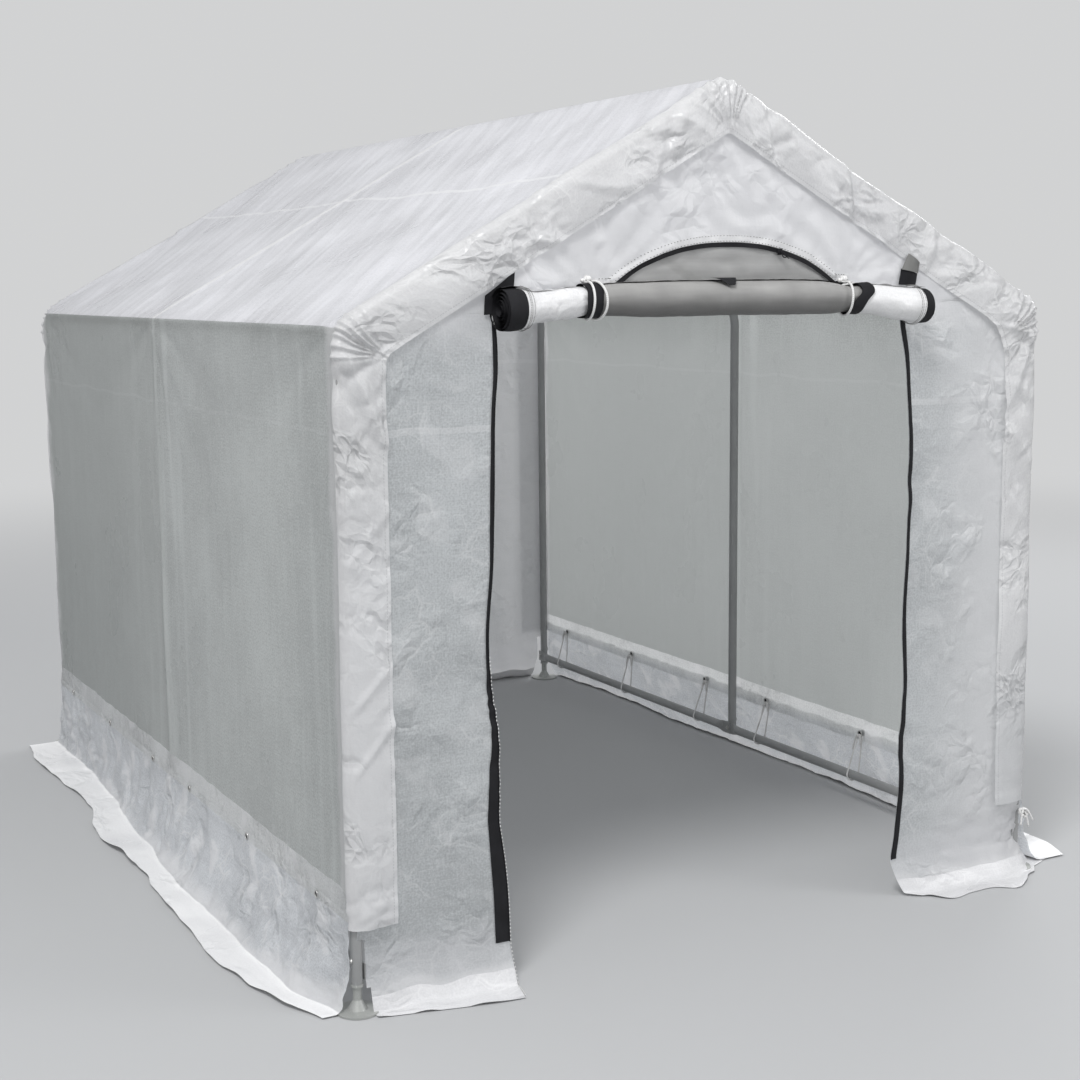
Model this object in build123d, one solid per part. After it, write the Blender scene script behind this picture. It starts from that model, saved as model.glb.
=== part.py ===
"""A peak-roofed grow tunnel: a bolted steel tube frame under a fitted woven film cover.

Millimetres, +Z up, front facing -Y. The origin is on the ground under the middle of the house.
"""

import os
from math import atan2, copysign, cos, hypot, pi, radians, sin, tan

from build123d import *

# The tube frame, measured on its centre lines
RIB_HALF_WIDTH = 901.8  # from the middle of the house to the legs' centre line
RIB_HALF_LENGTH = 1206.3  # from the middle rib to the front and back ribs
EAVE_CORNER = 1402.0  # where the leg and rafter lines would meet
RIDGE_CORNER = 1900.0  # where the two rafter lines would meet
TUBE_DIAMETER = 25.4
TUBE_WALL = 1.2
TUBE_SIDES = 16  # a round tube is drawn with this many flats
SPIGOT_LENGTH = 45.0  # the swaged end that goes into the next tube
SPIGOT_CLEARANCE = 0.25  # all round, between a swaged end and the tube it is in
SOCKET_SPARE = 5.0  # how much deeper a socket is than its spigot is long
LEG_TOP = 1150.0
EAVE_BEND_REACH = 400.0  # from the eave corner up the rafter

# Rails run from rib to rib and end in flattened tabs that are bolted on
TAB_WIDTH = 36.0
TAB_THICKNESS = 2.4
TAB_OVERLAP = 12.0  # how far a tab reaches past the rib's centre line
TAB_LENGTH = 37.0
FLARE_LENGTH = 24.0  # from the flat tab to the full tube
TAB_SEAT = 0.2  # between a tab and the round tube that it is bolted to
BASE_RAIL_HEIGHT = 86.0
RAIL_FOLD_GAP = 2.2  # between the cover's folds and the rails that lie in them, on the bends
MIDDLE_LEG_BELOW_RAIL = 15.0  # the middle legs end just under the rail's axis

# Feet
FOOT_RADIUS = 46.0
FOOT_PLATE = 4.0
FOOT_CROWN = 2.0  # how much the plate's top rises towards the cone
FOOT_CONE_RADIUS = 21.0
FOOT_CONE_TOP = 26.0
FOOT_NECK_RADIUS = 9.6
FOOT_COLLAR_RADIUS = 14.0
FOOT_COLLAR_HEIGHT = 5.0
LEG_FOOT_HEIGHT = 60.0  # the corner legs stand on the foot's collar here
FOOT_SPIGOT_LENGTH = 60.0

# The cover
FILM = 3.0  # thickness of every sheet
COVER_GAP = 0.4  # between the tubes and the sheets
ROOF_SEAM = 440.0  # from the ridge line out to the welded roof seams
WALL_SEAM_HEIGHT = 1200.0
SKIRT_SEAM_HEIGHT = 230.0  # where the wall film is welded to the ground skirt
LIP_WIDTH = 104.0  # how far the cover wraps over the front and back
LIP_BOTTOM = 180.0
LIP_OUTER_RADIUS = 118.0
LIP_INNER_RADIUS = 60.0
PANEL_EDGE_GAP = 1.0  # between a front or back panel and the cover round it

# Skirts on the ground
SKIRT_OUT = 158.0  # how far the skirts reach beyond the cover
SKIRT_FOLD_OUT = 42.0  # where they meet the ground
SKIRT_HIP_OUT = 10.0
SKIRT_HIP_HEIGHT = 110.0
SKIRT_CORNER_CUT = 85.0  # a corner of the band that lies on the ground is cut back this far
END_SKIRT_OUT = 108.0
END_SEAM_HEIGHT = 90.0
END_SKIRT_CORNER = 30.0  # the front and back skirts stop this short of the legs' centre line

# The doorway, its zips and the rolled-up door
DOOR_LEFT = -572.0
DOOR_RIGHT = 510.0
ZIP_WIDTH = 28.0
ZIP_THICKNESS = 2.5
ZIP_TOP = 1455.0
ROLL_HEIGHT = 1435.0
ROLL_RADIUS = 42.0
ROLL_END_RADIUS = 36.0
ROLL_SWELL_LENGTH = 45.0  # over which it swells from the one radius to the other
ROLL_PAST_LEFT = 6.0  # how far it reaches past the doorway's edges
ROLL_PAST_RIGHT = 20.0
ROLL_SEAT = 0.3  # between the rolled door, what it lies on and what goes round it
ROLL_SIDES = 24  # the straps and cord loops round it are drawn with this many flats
STRAP_THICKNESS = 1.7
STRAPS = [(-392.0, 42.0), (292.0, 68.0)]  # left edge and width of each strap
TIE_PLACES = [-372.0, -358.0, 300.0]
TIE_CORD = 4.0

# The half-moon vent over the door
VENT_CHORD = 657.0
VENT_RISE = 84.0
VENT_MIDDLE = 4.0
VENT_FOOT = 1473.0
VENT_ZIP_WIDTH = 13.0
SCREEN_THICKNESS = 1.5
SCREEN_LAP = 10.0

# Cord ties between the cover's eyelets and the base rails
EYELET_SPACING = 440.0
EYELETS = [-1, 0, 1]  # in each bay, counted in spacings from its middle
EYELET_HEIGHT = 196.0
TIE_GAP = 0.3  # between a tie and what it goes round
TIE_STEP = 30  # degrees that each flat of a tie turns round the rail

# Worked out from the sizes above
tube_radius = TUBE_DIAMETER / 2
bore_radius = tube_radius - TUBE_WALL
spigot_radius = bore_radius - SPIGOT_CLEARANCE
pitch = atan2(RIDGE_CORNER - EAVE_CORNER, RIB_HALF_WIDTH)
eave_half_turn = (radians(90) - pitch) / 2
joint_x = RIB_HALF_WIDTH - EAVE_BEND_REACH * cos(pitch)
joint_z = EAVE_CORNER + EAVE_BEND_REACH * sin(pitch)
inner_offset = tube_radius + COVER_GAP
outer_offset = inner_offset + FILM
rail_out = tube_radius + TAB_SEAT + TAB_THICKNESS / 2
base_rail_x = RIB_HALF_WIDTH - rail_out
panel_back = RIB_HALF_LENGTH + tube_radius + COVER_GAP
panel_front = panel_back + FILM
lip_back = panel_front + COVER_GAP
lip_front = lip_back + FILM
cover_out = RIB_HALF_WIDTH + outer_offset
strap_inner = ROLL_END_RADIUS + ROLL_SEAT
tie_inner = strap_inner + STRAP_THICKNESS + ROLL_SEAT
tie_corner = (tie_inner + TIE_CORD) / cos(pi / ROLL_SIDES)
roll_y = -(panel_front + ROLL_SEAT + max(ROLL_RADIUS, tie_corner))

parts = {}


def bend_radius(half_turn):
    """The bend that leaves room for a rail between it and the fold of the cover over it."""
    spare = (tube_radius + RAIL_FOLD_GAP - inner_offset) / cos(half_turn)
    return (rail_out + spare) / (1 / cos(half_turn) - 1)


def facing_front(x, y, z):
    """A plane that faces -Y, with its own X along +X and its Y along +Z."""
    return Plane(origin=(x, y, z), x_dir=(1, 0, 0), z_dir=(0, -1, 0))


def extrude_back(points, y_low, y_high):
    """A prism along Y over a polygon of (x, z) points."""
    face = make_face(Polyline([(x, y_low, z) for x, z in points], close=True))
    return extrude(face, amount=y_high - y_low, dir=(0, 1, 0))


def extrude_across(points, x_low, x_high):
    """A prism along X over a polygon of (y, z) points."""
    face = make_face(Polyline([(x_low, y, z) for y, z in points], close=True))
    return extrude(face, amount=x_high - x_low, dir=(1, 0, 0))


def ribbon(points, thickness):
    """The polygon of a sheet's section: the points, and the same line moved to its left."""
    moved = []
    for n, (a, b) in enumerate(points):
        ways = []
        if n > 0:
            ways.append((a - points[n - 1][0], b - points[n - 1][1]))
        if n < len(points) - 1:
            ways.append((points[n + 1][0] - a, points[n + 1][1] - b))
        normals = [(-v / hypot(u, v), u / hypot(u, v)) for u, v in ways]
        p, q = normals[0], normals[-1]
        share = thickness / (1 + p[0] * q[0] + p[1] * q[1])
        moved.append((a + (p[0] + q[0]) * share, b + (p[1] + q[1]) * share))
    return points + moved[::-1]


def mirrored(points):
    return [(-a, b) for a, b in points]


def corner_turns():
    """The angles of a tube section's corners, which lie symmetrically about both its axes."""
    return [(n + 0.5) * 2 * pi / TUBE_SIDES for n in range(TUBE_SIDES)]


def round_section(radius):
    """The corners of a round bar's section."""
    return [(radius * cos(a), radius * sin(a)) for a in corner_turns()]


def tab_section():
    """The corners of a tube's section pressed flat, as many as the round one has."""
    half_width = TAB_WIDTH / 2 / cos(pi / TUBE_SIDES)
    return [(half_width * cos(a), copysign(TAB_THICKNESS / 2, sin(a))) for a in corner_turns()]


def filled(place, corners):
    """The flat face inside corners that are given on a plane, facing as the plane does."""
    return place * make_face(Polyline(corners, close=True))


def flare(near_place, near, far_place, far):
    """A solid between two sections with as many corners each, in flat triangles."""
    a = [near_place.from_local_coords((u, v, 0)) for u, v in near]
    b = [far_place.from_local_coords((u, v, 0)) for u, v in far]
    outlines = [a, b]
    for n in range(len(a)):
        outlines.append([a[n - 1], a[n], b[n]])
        outlines.append([a[n - 1], b[n], b[n - 1]])
    return Solid(Shell([Face(Wire.make_polygon(points)) for points in outlines]))


def bar(start, end, radius):
    """A straight bar between two points of one rib."""
    way = end - start
    place = Plane(origin=start, x_dir=(0, 1, 0), z_dir=way)
    return extrude(filled(place, round_section(radius)), amount=way.length)


def bent_tube(start, corner, end):
    """A tube in a rib's plane: a run, an arc round the corner and another run."""
    way_in, way_out = (corner - start).normalized(), (end - corner).normalized()
    turn = way_in.get_angle(way_out)
    radius = bend_radius(radians(turn) / 2)
    tangent = radius * tan(radians(turn) / 2)
    arc_start, arc_end = corner - way_in * tangent, corner + way_out * tangent
    normal = way_in.cross(way_out).normalized()
    centre = arc_start + normal.cross(way_in) * radius
    place = Plane(origin=arc_start, x_dir=(0, 1, 0), z_dir=way_in)
    section = filled(place, round_section(tube_radius))
    arc = revolve(section, Axis(centre, normal), revolution_arc=turn)
    return bar(start, arc_start, tube_radius) + arc + bar(arc_end, end, tube_radius)


def leg(side, y, foot):
    """A straight tube, open at both ends."""
    low = Vector(side * RIB_HALF_WIDTH, y, foot)
    high = Vector(side * RIB_HALF_WIDTH, y, LEG_TOP)
    return bar(low, high, tube_radius) - bar(low, high, bore_radius)


def joint_point(side, y):
    """Where an eave bend's upper end meets the peak bend."""
    return Vector(side * joint_x, y, joint_z)


def eave_bend(side, y):
    """From the leg's top round the eave and up the rafter, swaged at both ends."""
    low = Vector(side * RIB_HALF_WIDTH, y, LEG_TOP)
    corner = Vector(side * RIB_HALF_WIDTH, y, EAVE_CORNER)
    high = joint_point(side, y)
    up = (high - corner).normalized()
    spigots = bar(low - Vector(0, 0, SPIGOT_LENGTH), low, spigot_radius)
    spigots += bar(high, high + up * SPIGOT_LENGTH, spigot_radius)
    return bent_tube(low, corner, high) + spigots


def peak_bend(y):
    """Over the ridge, with a socket at each end for the eave bends."""
    corner = Vector(0, y, RIDGE_CORNER)
    solid = bent_tube(joint_point(-1, y), corner, joint_point(1, y))
    for side in (-1, 1):
        end = joint_point(side, y)
        inward = (corner - end).normalized()
        solid -= bar(end, end + inward * (SPIGOT_LENGTH + SOCKET_SPARE), bore_radius)
    return solid


def rail(seat, out, y_from, y_to, near_lift, far_lift):
    """A tube along Y between two ribs.

    seat is the (x, z) of the ribs' centre line, out the direction in which the rail lies on
    them, and the lifts move a tab out where it lies on another tab.
    """
    out = Vector(out[0], 0, out[1]).normalized()
    across = Vector(0, 1, 0).cross(out)
    axis = Vector(seat[0], 0, seat[1]) + out * rail_out

    def at(y, lift=0.0):
        return Plane(origin=axis + out * lift + Vector(0, y, 0), x_dir=across, z_dir=(0, 1, 0))

    tube, flat = round_section(tube_radius), tab_section()
    tube_from = y_from - TAB_OVERLAP + TAB_LENGTH + FLARE_LENGTH
    tube_to = y_to + TAB_OVERLAP - TAB_LENGTH - FLARE_LENGTH
    solid = extrude(filled(at(tube_from), tube), amount=tube_to - tube_from)
    for tube_end, tab_end, way, lift in (
        (tube_from, y_from - TAB_OVERLAP, -1, near_lift),
        (tube_to, y_to + TAB_OVERLAP, 1, far_lift),
    ):
        tab = at(tab_end - way * TAB_LENGTH, lift)
        solid += flare(at(tube_end), tube, tab, flat)
        solid += extrude(filled(tab, flat), amount=way * TAB_LENGTH)
    return solid


def rail_pair(seat, out):
    """The front and back bay's rails; at the middle rib one tab lies on the other."""
    stacked = TAB_THICKNESS + TAB_SEAT
    return [
        rail(seat, out, -RIB_HALF_LENGTH, 0, 0, 0),
        rail(seat, out, 0, RIB_HALF_LENGTH, stacked, 0),
    ]


def foot(side, end):
    """A cast foot: a round plate, a flared neck, a collar for the tube and a spigot in it."""
    collar_foot = LEG_FOOT_HEIGHT - FOOT_COLLAR_HEIGHT
    profile = [
        (0, 0),
        (FOOT_RADIUS, 0),
        (FOOT_RADIUS, FOOT_PLATE),
        (FOOT_CONE_RADIUS, FOOT_PLATE + FOOT_CROWN),
        (FOOT_NECK_RADIUS, FOOT_CONE_TOP),
        (FOOT_NECK_RADIUS, collar_foot),
        (FOOT_COLLAR_RADIUS, collar_foot),
        (FOOT_COLLAR_RADIUS, LEG_FOOT_HEIGHT),
        (spigot_radius, LEG_FOOT_HEIGHT),
        (spigot_radius, LEG_FOOT_HEIGHT + FOOT_SPIGOT_LENGTH),
        (0, LEG_FOOT_HEIGHT + FOOT_SPIGOT_LENGTH),
    ]
    face = make_face(Polyline([(r, 0, z) for r, z in profile], close=True))
    place = Location((side * RIB_HALF_WIDTH, end * RIB_HALF_LENGTH, 0))
    return revolve(face, Axis.Z).moved(place)


def bend_middle(corner, inward, half_turn):
    """The middle of a bend's centre line: it cuts inside the corner of its two runs."""
    cut = bend_radius(half_turn) * (1 / cos(half_turn) - 1)
    return (corner[0] + inward[0] * cut, corner[1] + inward[1] * cut)


def roof_height(x, offset):
    """Height of the rafter line at x, moved out by offset."""
    return RIDGE_CORNER - abs(x) * tan(pitch) + offset / cos(pitch)


def eave_height(offset):
    """Where the moved wall and roof lines meet."""
    return roof_height(RIB_HALF_WIDTH + offset, offset)


def roof_strip():
    """Over the ridge, between the two roof seams."""
    outside = [
        (-ROOF_SEAM, roof_height(ROOF_SEAM, outer_offset)),
        (0, roof_height(0, outer_offset)),
        (ROOF_SEAM, roof_height(ROOF_SEAM, outer_offset)),
    ]
    return extrude_back(seamed(outside), -lip_back, lip_back)


def seamed(outside):
    """A sheet's section, FILM thick, with its ends cut across."""
    return ribbon(outside[::-1], FILM)


def eave_strip(side):
    """From the roof seam over the eave down to the wall seam."""
    wall = RIB_HALF_WIDTH + outer_offset
    outside = [
        (-wall, WALL_SEAM_HEIGHT),
        (-wall, eave_height(outer_offset)),
        (-ROOF_SEAM, roof_height(ROOF_SEAM, outer_offset)),
    ]
    points = seamed(outside)
    return extrude_back(points if side < 0 else mirrored(points), -lip_back, lip_back)


def wall(side):
    x = RIB_HALF_WIDTH + inner_offset
    points = [
        (x, SKIRT_SEAM_HEIGHT),
        (x + FILM, SKIRT_SEAM_HEIGHT),
        (x + FILM, WALL_SEAM_HEIGHT),
        (x, WALL_SEAM_HEIGHT),
    ]
    return extrude_back([(side * a, b) for a, b in points], -lip_back, lip_back)


def skirt_section(seam, hips, reach):
    """A skirt's section from its edge on the ground up to its seam: (distance out, height)."""
    out = seam[0]
    line = [(out + reach, FILM), (out + SKIRT_FOLD_OUT, FILM), *hips, seam]
    return ribbon(line, FILM)


def side_skirt(side):
    """A side's ground skirt; the band on the ground is cut back at both corners."""
    hip = (cover_out + SKIRT_HIP_OUT, SKIRT_HIP_HEIGHT)
    seam = (cover_out, SKIRT_SEAM_HEIGHT)
    section = [(side * a, b) for a, b in skirt_section(seam, [hip], SKIRT_OUT)]
    length = panel_front
    sheet = extrude_back(section, -length, length)
    outer = cover_out + SKIRT_OUT
    for end in (-1, 1):
        wedge = [
            (side * (outer - SKIRT_CORNER_CUT), end * (length + 1)),
            (side * (outer + 1), end * (length + 1)),
            (side * (outer + 1), end * (length - 2 * SKIRT_CORNER_CUT)),
            (side * outer, end * (length - 2 * SKIRT_CORNER_CUT)),
        ]
        face = make_face(Polyline([(x, y, -1) for x, y in wedge], close=True))
        sheet -= extrude(face, amount=SKIRT_SEAM_HEIGHT, dir=(0, 0, 1))
    return sheet


def end_skirt(end, x_low, x_high):
    """A skirt under the front or back panel."""
    section = skirt_section((panel_front, END_SEAM_HEIGHT), [], END_SKIRT_OUT)
    return extrude_across([(end * a, b) for a, b in section], x_low, x_high)


def house_outline(offset, bottom, radius):
    """The house's front outline moved out by offset, with round eaves and ridge."""
    half = RIB_HALF_WIDTH + offset
    eave = eave_height(offset)
    line = FilletPolyline(
        [(-half, 0, bottom), (-half, 0, eave), (0, 0, roof_height(0, offset)), (half, 0, eave),
         (half, 0, bottom)],
        radius=radius,
    )
    return make_face(line + Line(line @ 1, line @ 0))


def lip(side, end):
    """Half of the hem that wraps over the front or back, from the ridge down to its cut end."""
    band = house_outline(outer_offset, LIP_BOTTOM, LIP_OUTER_RADIUS)
    band -= house_outline(outer_offset - LIP_WIDTH, LIP_BOTTOM, LIP_INNER_RADIUS)
    y_low = min(end * lip_back, end * lip_front)
    solid = extrude(band.moved(Location((0, y_low, 0))), amount=FILM, dir=(0, 1, 0))
    middle = Plane(origin=(0, 0, 0), z_dir=(side, 0, 0))
    return split(solid, bisect_by=middle, keep=Keep.TOP)


def panel(end, x_low, x_high, bottom):
    """A flat sheet in the front or back, cut off under the roof."""
    edge = inner_offset - PANEL_EDGE_GAP
    half = RIB_HALF_WIDTH + edge
    low, high = max(x_low, -half), min(x_high, half)
    points = [(low, bottom), (high, bottom), (high, roof_height(high, edge))]
    if low < 0 < high:
        points.append((0, roof_height(0, edge)))
    points.append((low, roof_height(low, edge)))
    y_low = min(end * panel_back, end * panel_front)
    return extrude_back(points, y_low, y_low + FILM)


def vent_face(grow, y):
    """The half-moon of the vent, made larger all round by grow."""
    radius = (VENT_CHORD**2 / 4 + VENT_RISE**2) / (2 * VENT_RISE)
    centre = (VENT_MIDDLE, y, VENT_FOOT + VENT_RISE - radius)
    disc = facing_front(*centre) * Circle(radius + grow)
    width, height = 2 * radius, 2 * VENT_RISE
    middle = VENT_FOOT - grow + height / 2
    return disc & facing_front(VENT_MIDDLE, y, middle) * Rectangle(width, height)


def gable_panel():
    sheet = panel(-1, DOOR_LEFT, DOOR_RIGHT, ROLL_HEIGHT)
    return sheet - extrude(vent_face(0, -panel_front - 1), amount=FILM + 2, dir=(0, 1, 0))


def vent_screen():
    return extrude(vent_face(SCREEN_LAP, -panel_back), amount=SCREEN_THICKNESS, dir=(0, 1, 0))


def vent_zip():
    band = vent_face(VENT_ZIP_WIDTH, -panel_front) - vent_face(0, -panel_front)
    solid = extrude(band, amount=ZIP_THICKNESS, dir=(0, -1, 0))
    keep = Plane(origin=(0, 0, VENT_FOOT), z_dir=(0, 0, 1))
    return split(solid, bisect_by=keep, keep=Keep.TOP)


def door_zip(x_low):
    return extrude_back(
        [(x_low, END_SEAM_HEIGHT), (x_low + ZIP_WIDTH, END_SEAM_HEIGHT),
         (x_low + ZIP_WIDTH, ZIP_TOP), (x_low, ZIP_TOP)],
        -panel_front - ZIP_THICKNESS,
        -panel_front,
    )


def door_roll():
    """The rolled-up door: slim at its hemmed ends, fuller where the soft middle is wound."""
    (left_strap, left_width), (right_strap, _) = STRAPS
    fuller_from = left_strap + left_width
    profile = [
        (DOOR_LEFT - ROLL_PAST_LEFT, 0),
        (DOOR_LEFT - ROLL_PAST_LEFT, ROLL_END_RADIUS),
        (fuller_from, ROLL_END_RADIUS),
        (fuller_from + ROLL_SWELL_LENGTH, ROLL_RADIUS),
        (right_strap - ROLL_SWELL_LENGTH, ROLL_RADIUS),
        (right_strap, ROLL_END_RADIUS),
        (DOOR_RIGHT + ROLL_PAST_RIGHT, ROLL_END_RADIUS),
        (DOOR_RIGHT + ROLL_PAST_RIGHT, 0),
    ]
    face = make_face(Polyline([(x, 0, r) for x, r in profile], close=True))
    return revolve(face, Axis.X).moved(Location((0, roll_y, ROLL_HEIGHT)))


def roll_ring(x_low, width, inner, thickness):
    """A band round the rolled door, with flats that clear it by as much as its inner radius."""
    hole = RegularPolygon(inner, ROLL_SIDES, major_radius=False)
    ring = RegularPolygon(inner + thickness, ROLL_SIDES, major_radius=False) - hole
    place = Plane(origin=(x_low, roll_y, ROLL_HEIGHT), z_dir=(1, 0, 0))
    return extrude(place * ring, amount=width)


def roll_straps():
    return [roll_ring(x, width, strap_inner, STRAP_THICKNESS) for x, width in STRAPS]


def roll_ties():
    """Cord loops round the rolled door, outside its straps."""
    return [roll_ring(x, TIE_CORD, tie_inner, TIE_CORD) for x in TIE_PLACES]


def rail_tie(side, y):
    """A cord loop that hangs from an eyelet in the cover and goes round the base rail."""
    rail = Vector(side * base_rail_x, BASE_RAIL_HEIGHT)
    wall_face = RIB_HALF_WIDTH + inner_offset
    top = Vector(side * (wall_face - TIE_GAP - 2 * TIE_CORD), EYELET_HEIGHT)
    down = (rail - top).normalized()
    across = Vector(-down.Y, down.X)
    swing = (tube_radius + TIE_GAP) / cos(radians(TIE_STEP / 2))
    corners = [top - across * TIE_CORD / 2, top + across * TIE_CORD / 2]
    for turn in range(90, -91, -TIE_STEP):
        corners.append(rail + (down * cos(radians(turn)) + across * sin(radians(turn))) * swing)
    inside = make_face(Polyline(corners, close=True))
    loop = offset(inside, amount=TIE_CORD, kind=Kind.INTERSECTION) - inside
    return extrude(facing_front(0, y, 0) * loop, amount=TIE_CORD)


def export(name, *solids):
    shape = solids[0] if len(solids) == 1 else Compound(children=list(solids))
    parts[name] = shape
    export_step(shape, f"parts/{name}.step")


SIDES = {"left": -1, "right": 1}
RIBS = {"front": -RIB_HALF_LENGTH, "middle": 0.0, "back": RIB_HALF_LENGTH}


def frame_parts():
    for rib, y in RIBS.items():
        for name, side in SIDES.items():
            foot_height = LEG_FOOT_HEIGHT if y else BASE_RAIL_HEIGHT - MIDDLE_LEG_BELOW_RAIL
            export(f"leg_{rib}_{name}", leg(side, y, foot_height))
    export("feet", *[foot(side, end) for side in (-1, 1) for end in (-1, 1)])
    export("peak_bends", *[peak_bend(y) for y in RIBS.values()])
    ridge = bend_middle((0, RIDGE_CORNER), (0, -1), pitch)
    export("ridge_rail", *rail_pair(ridge, (0, 1)))
    for name, side in SIDES.items():
        export(f"{name}_eave_bends", *[eave_bend(side, y) for y in RIBS.values()])
        inward = (-side * cos(eave_half_turn), -sin(eave_half_turn))
        eave = bend_middle((side * RIB_HALF_WIDTH, EAVE_CORNER), inward, eave_half_turn)
        export(f"{name}_eave_rail", *rail_pair(eave, (-inward[0], -inward[1])))
        seat = (side * RIB_HALF_WIDTH, BASE_RAIL_HEIGHT)
        export(f"{name}_base_rail", *rail_pair(seat, (-side, 0)))


def cover_parts():
    export("roof_strip", roof_strip())
    for name, side in SIDES.items():
        export(f"{name}_eave_strip", eave_strip(side))
        export(f"{name}_wall", wall(side))
        export(f"{name}_skirt", side_skirt(side))
        export(f"front_lip_{name}", lip(side, -1))
        export(f"back_lip_{name}", lip(side, 1))
    skirt_edge = RIB_HALF_WIDTH - END_SKIRT_CORNER
    export("front_left_panel", panel(-1, -cover_out, DOOR_LEFT, END_SEAM_HEIGHT))
    export("front_right_panel", panel(-1, DOOR_RIGHT, cover_out, END_SEAM_HEIGHT))
    export("front_gable_panel", gable_panel())
    export("front_left_skirt", end_skirt(-1, -skirt_edge, DOOR_LEFT))
    export("front_right_skirt", end_skirt(-1, DOOR_RIGHT, skirt_edge))
    export("back_panel", panel(1, -cover_out, cover_out, END_SEAM_HEIGHT))
    export("back_skirt", end_skirt(1, -skirt_edge, skirt_edge))


def door_parts():
    export("door_zip_left", door_zip(DOOR_LEFT - ZIP_WIDTH))
    export("door_zip_right", door_zip(DOOR_RIGHT))
    export("door_roll", door_roll())
    export("roll_straps", *roll_straps())
    export("roll_ties", *roll_ties())
    export("vent_screen", vent_screen())
    export("vent_zip", vent_zip())
    bays = [-RIB_HALF_LENGTH / 2, RIB_HALF_LENGTH / 2]
    places = [bay + n * EYELET_SPACING for bay in bays for n in EYELETS]
    for name, side in SIDES.items():
        export(f"{name}_rail_ties", *[rail_tie(side, y) for y in places])


os.makedirs("parts", exist_ok=True)
frame_parts()
cover_parts()
door_parts()
print(len(parts), "nodes")
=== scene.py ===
from math import cos, pi, radians, sin, tan

import bmesh
import bpy
import numpy as np
from mathutils import Matrix, Vector


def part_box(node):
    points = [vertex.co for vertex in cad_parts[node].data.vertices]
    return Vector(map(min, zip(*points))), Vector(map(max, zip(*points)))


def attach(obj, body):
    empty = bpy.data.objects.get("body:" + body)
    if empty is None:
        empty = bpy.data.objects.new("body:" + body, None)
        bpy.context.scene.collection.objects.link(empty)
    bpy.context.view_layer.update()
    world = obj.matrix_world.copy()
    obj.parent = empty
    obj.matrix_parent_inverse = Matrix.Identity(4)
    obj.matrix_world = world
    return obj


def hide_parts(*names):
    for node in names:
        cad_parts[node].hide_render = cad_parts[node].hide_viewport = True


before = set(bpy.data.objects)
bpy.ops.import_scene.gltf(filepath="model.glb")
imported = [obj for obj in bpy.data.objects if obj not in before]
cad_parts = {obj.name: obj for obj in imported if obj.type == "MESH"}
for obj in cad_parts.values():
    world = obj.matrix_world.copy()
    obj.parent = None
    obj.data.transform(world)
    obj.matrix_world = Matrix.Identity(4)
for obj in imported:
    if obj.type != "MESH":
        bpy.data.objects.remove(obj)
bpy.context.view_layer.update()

# The looks of a small peak-roofed grow tunnel. Metres, +Z up, the doorway faces -Y.

# The house, measured on its tubes' centre lines
RIB_HALF_WIDTH = 0.9018
RIB_HALF_LENGTH = 1.2063
EAVE_CORNER = 1.402
RIDGE_CORNER = 1.9
TUBE_RADIUS = 0.0127
RIBS = [-RIB_HALF_LENGTH, 0.0, RIB_HALF_LENGTH]
PITCH = np.arctan2(RIDGE_CORNER - EAVE_CORNER, RIB_HALF_WIDTH)

# The cover's outer face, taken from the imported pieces
COVER_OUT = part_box("right_wall")[1].x
COVER_OFFSET = COVER_OUT - RIB_HALF_WIDTH
LIP_FACE = -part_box("front_lip_left")[0].y
PANEL_FACE = -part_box("front_gable_panel")[0].y
BACK_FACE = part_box("back_panel")[1].y
LIP_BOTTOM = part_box("front_lip_left")[0].z
LIP_WIDTH = 0.104
WALL_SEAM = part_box("left_wall")[1].z

# The doorway and what closes it
DOOR_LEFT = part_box("front_left_panel")[1].x
DOOR_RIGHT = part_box("front_right_panel")[0].x
ZIP_LOW, ZIP_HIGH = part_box("door_zip_left")[0].z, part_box("door_zip_left")[1].z
ROLL_LOW, ROLL_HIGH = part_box("door_roll")
ROLL_Y = (ROLL_LOW.y + ROLL_HIGH.y) / 2
ROLL_Z = (ROLL_LOW.z + ROLL_HIGH.z) / 2
VENT_RISE, VENT_MIDDLE, VENT_FOOT = 0.084, 0.004, 1.473


# Meshes

class Lattice:
    """Smooth seeded noise over a plane, from -1 to 1."""

    SIZE = 256

    def __init__(self, seed):
        self.values = np.random.default_rng(seed).uniform(-1, 1, (self.SIZE, self.SIZE))

    def __call__(self, u, v):
        u, v = np.broadcast_arrays(u, v)
        i, j = np.floor(u).astype(int), np.floor(v).astype(int)
        a, b = u - i, v - j
        a, b = a * a * (3 - 2 * a), b * b * (3 - 2 * b)
        i, j = i % self.SIZE, j % self.SIZE
        k, m = (i + 1) % self.SIZE, (j + 1) % self.SIZE
        grid = self.values
        low = grid[i, j] * (1 - a) + grid[k, j] * a
        high = grid[i, m] * (1 - a) + grid[k, m] * a
        return low * (1 - b) + high * b


class Cells:
    """Seeded cells over a plane: 0 along their borders, rising to about 1 inside them."""

    SIZE = 128

    def __init__(self, seed):
        self.places = np.random.default_rng(seed).uniform(0.1, 0.9, (self.SIZE, self.SIZE, 2))

    def __call__(self, u, v):
        u, v = np.broadcast_arrays(u, v)
        i, j = np.floor(u).astype(int), np.floor(v).astype(int)
        near = np.full(u.shape, 9.0)
        second = near
        for di in (-1, 0, 1):
            for dj in (-1, 0, 1):
                place = self.places[(i + di) % self.SIZE, (j + dj) % self.SIZE]
                distance = np.hypot(i + di + place[..., 0] - u, j + dj + place[..., 1] - v)
                second = np.minimum(second, np.maximum(near, distance))
                near = np.minimum(near, distance)
        return second - near


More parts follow.
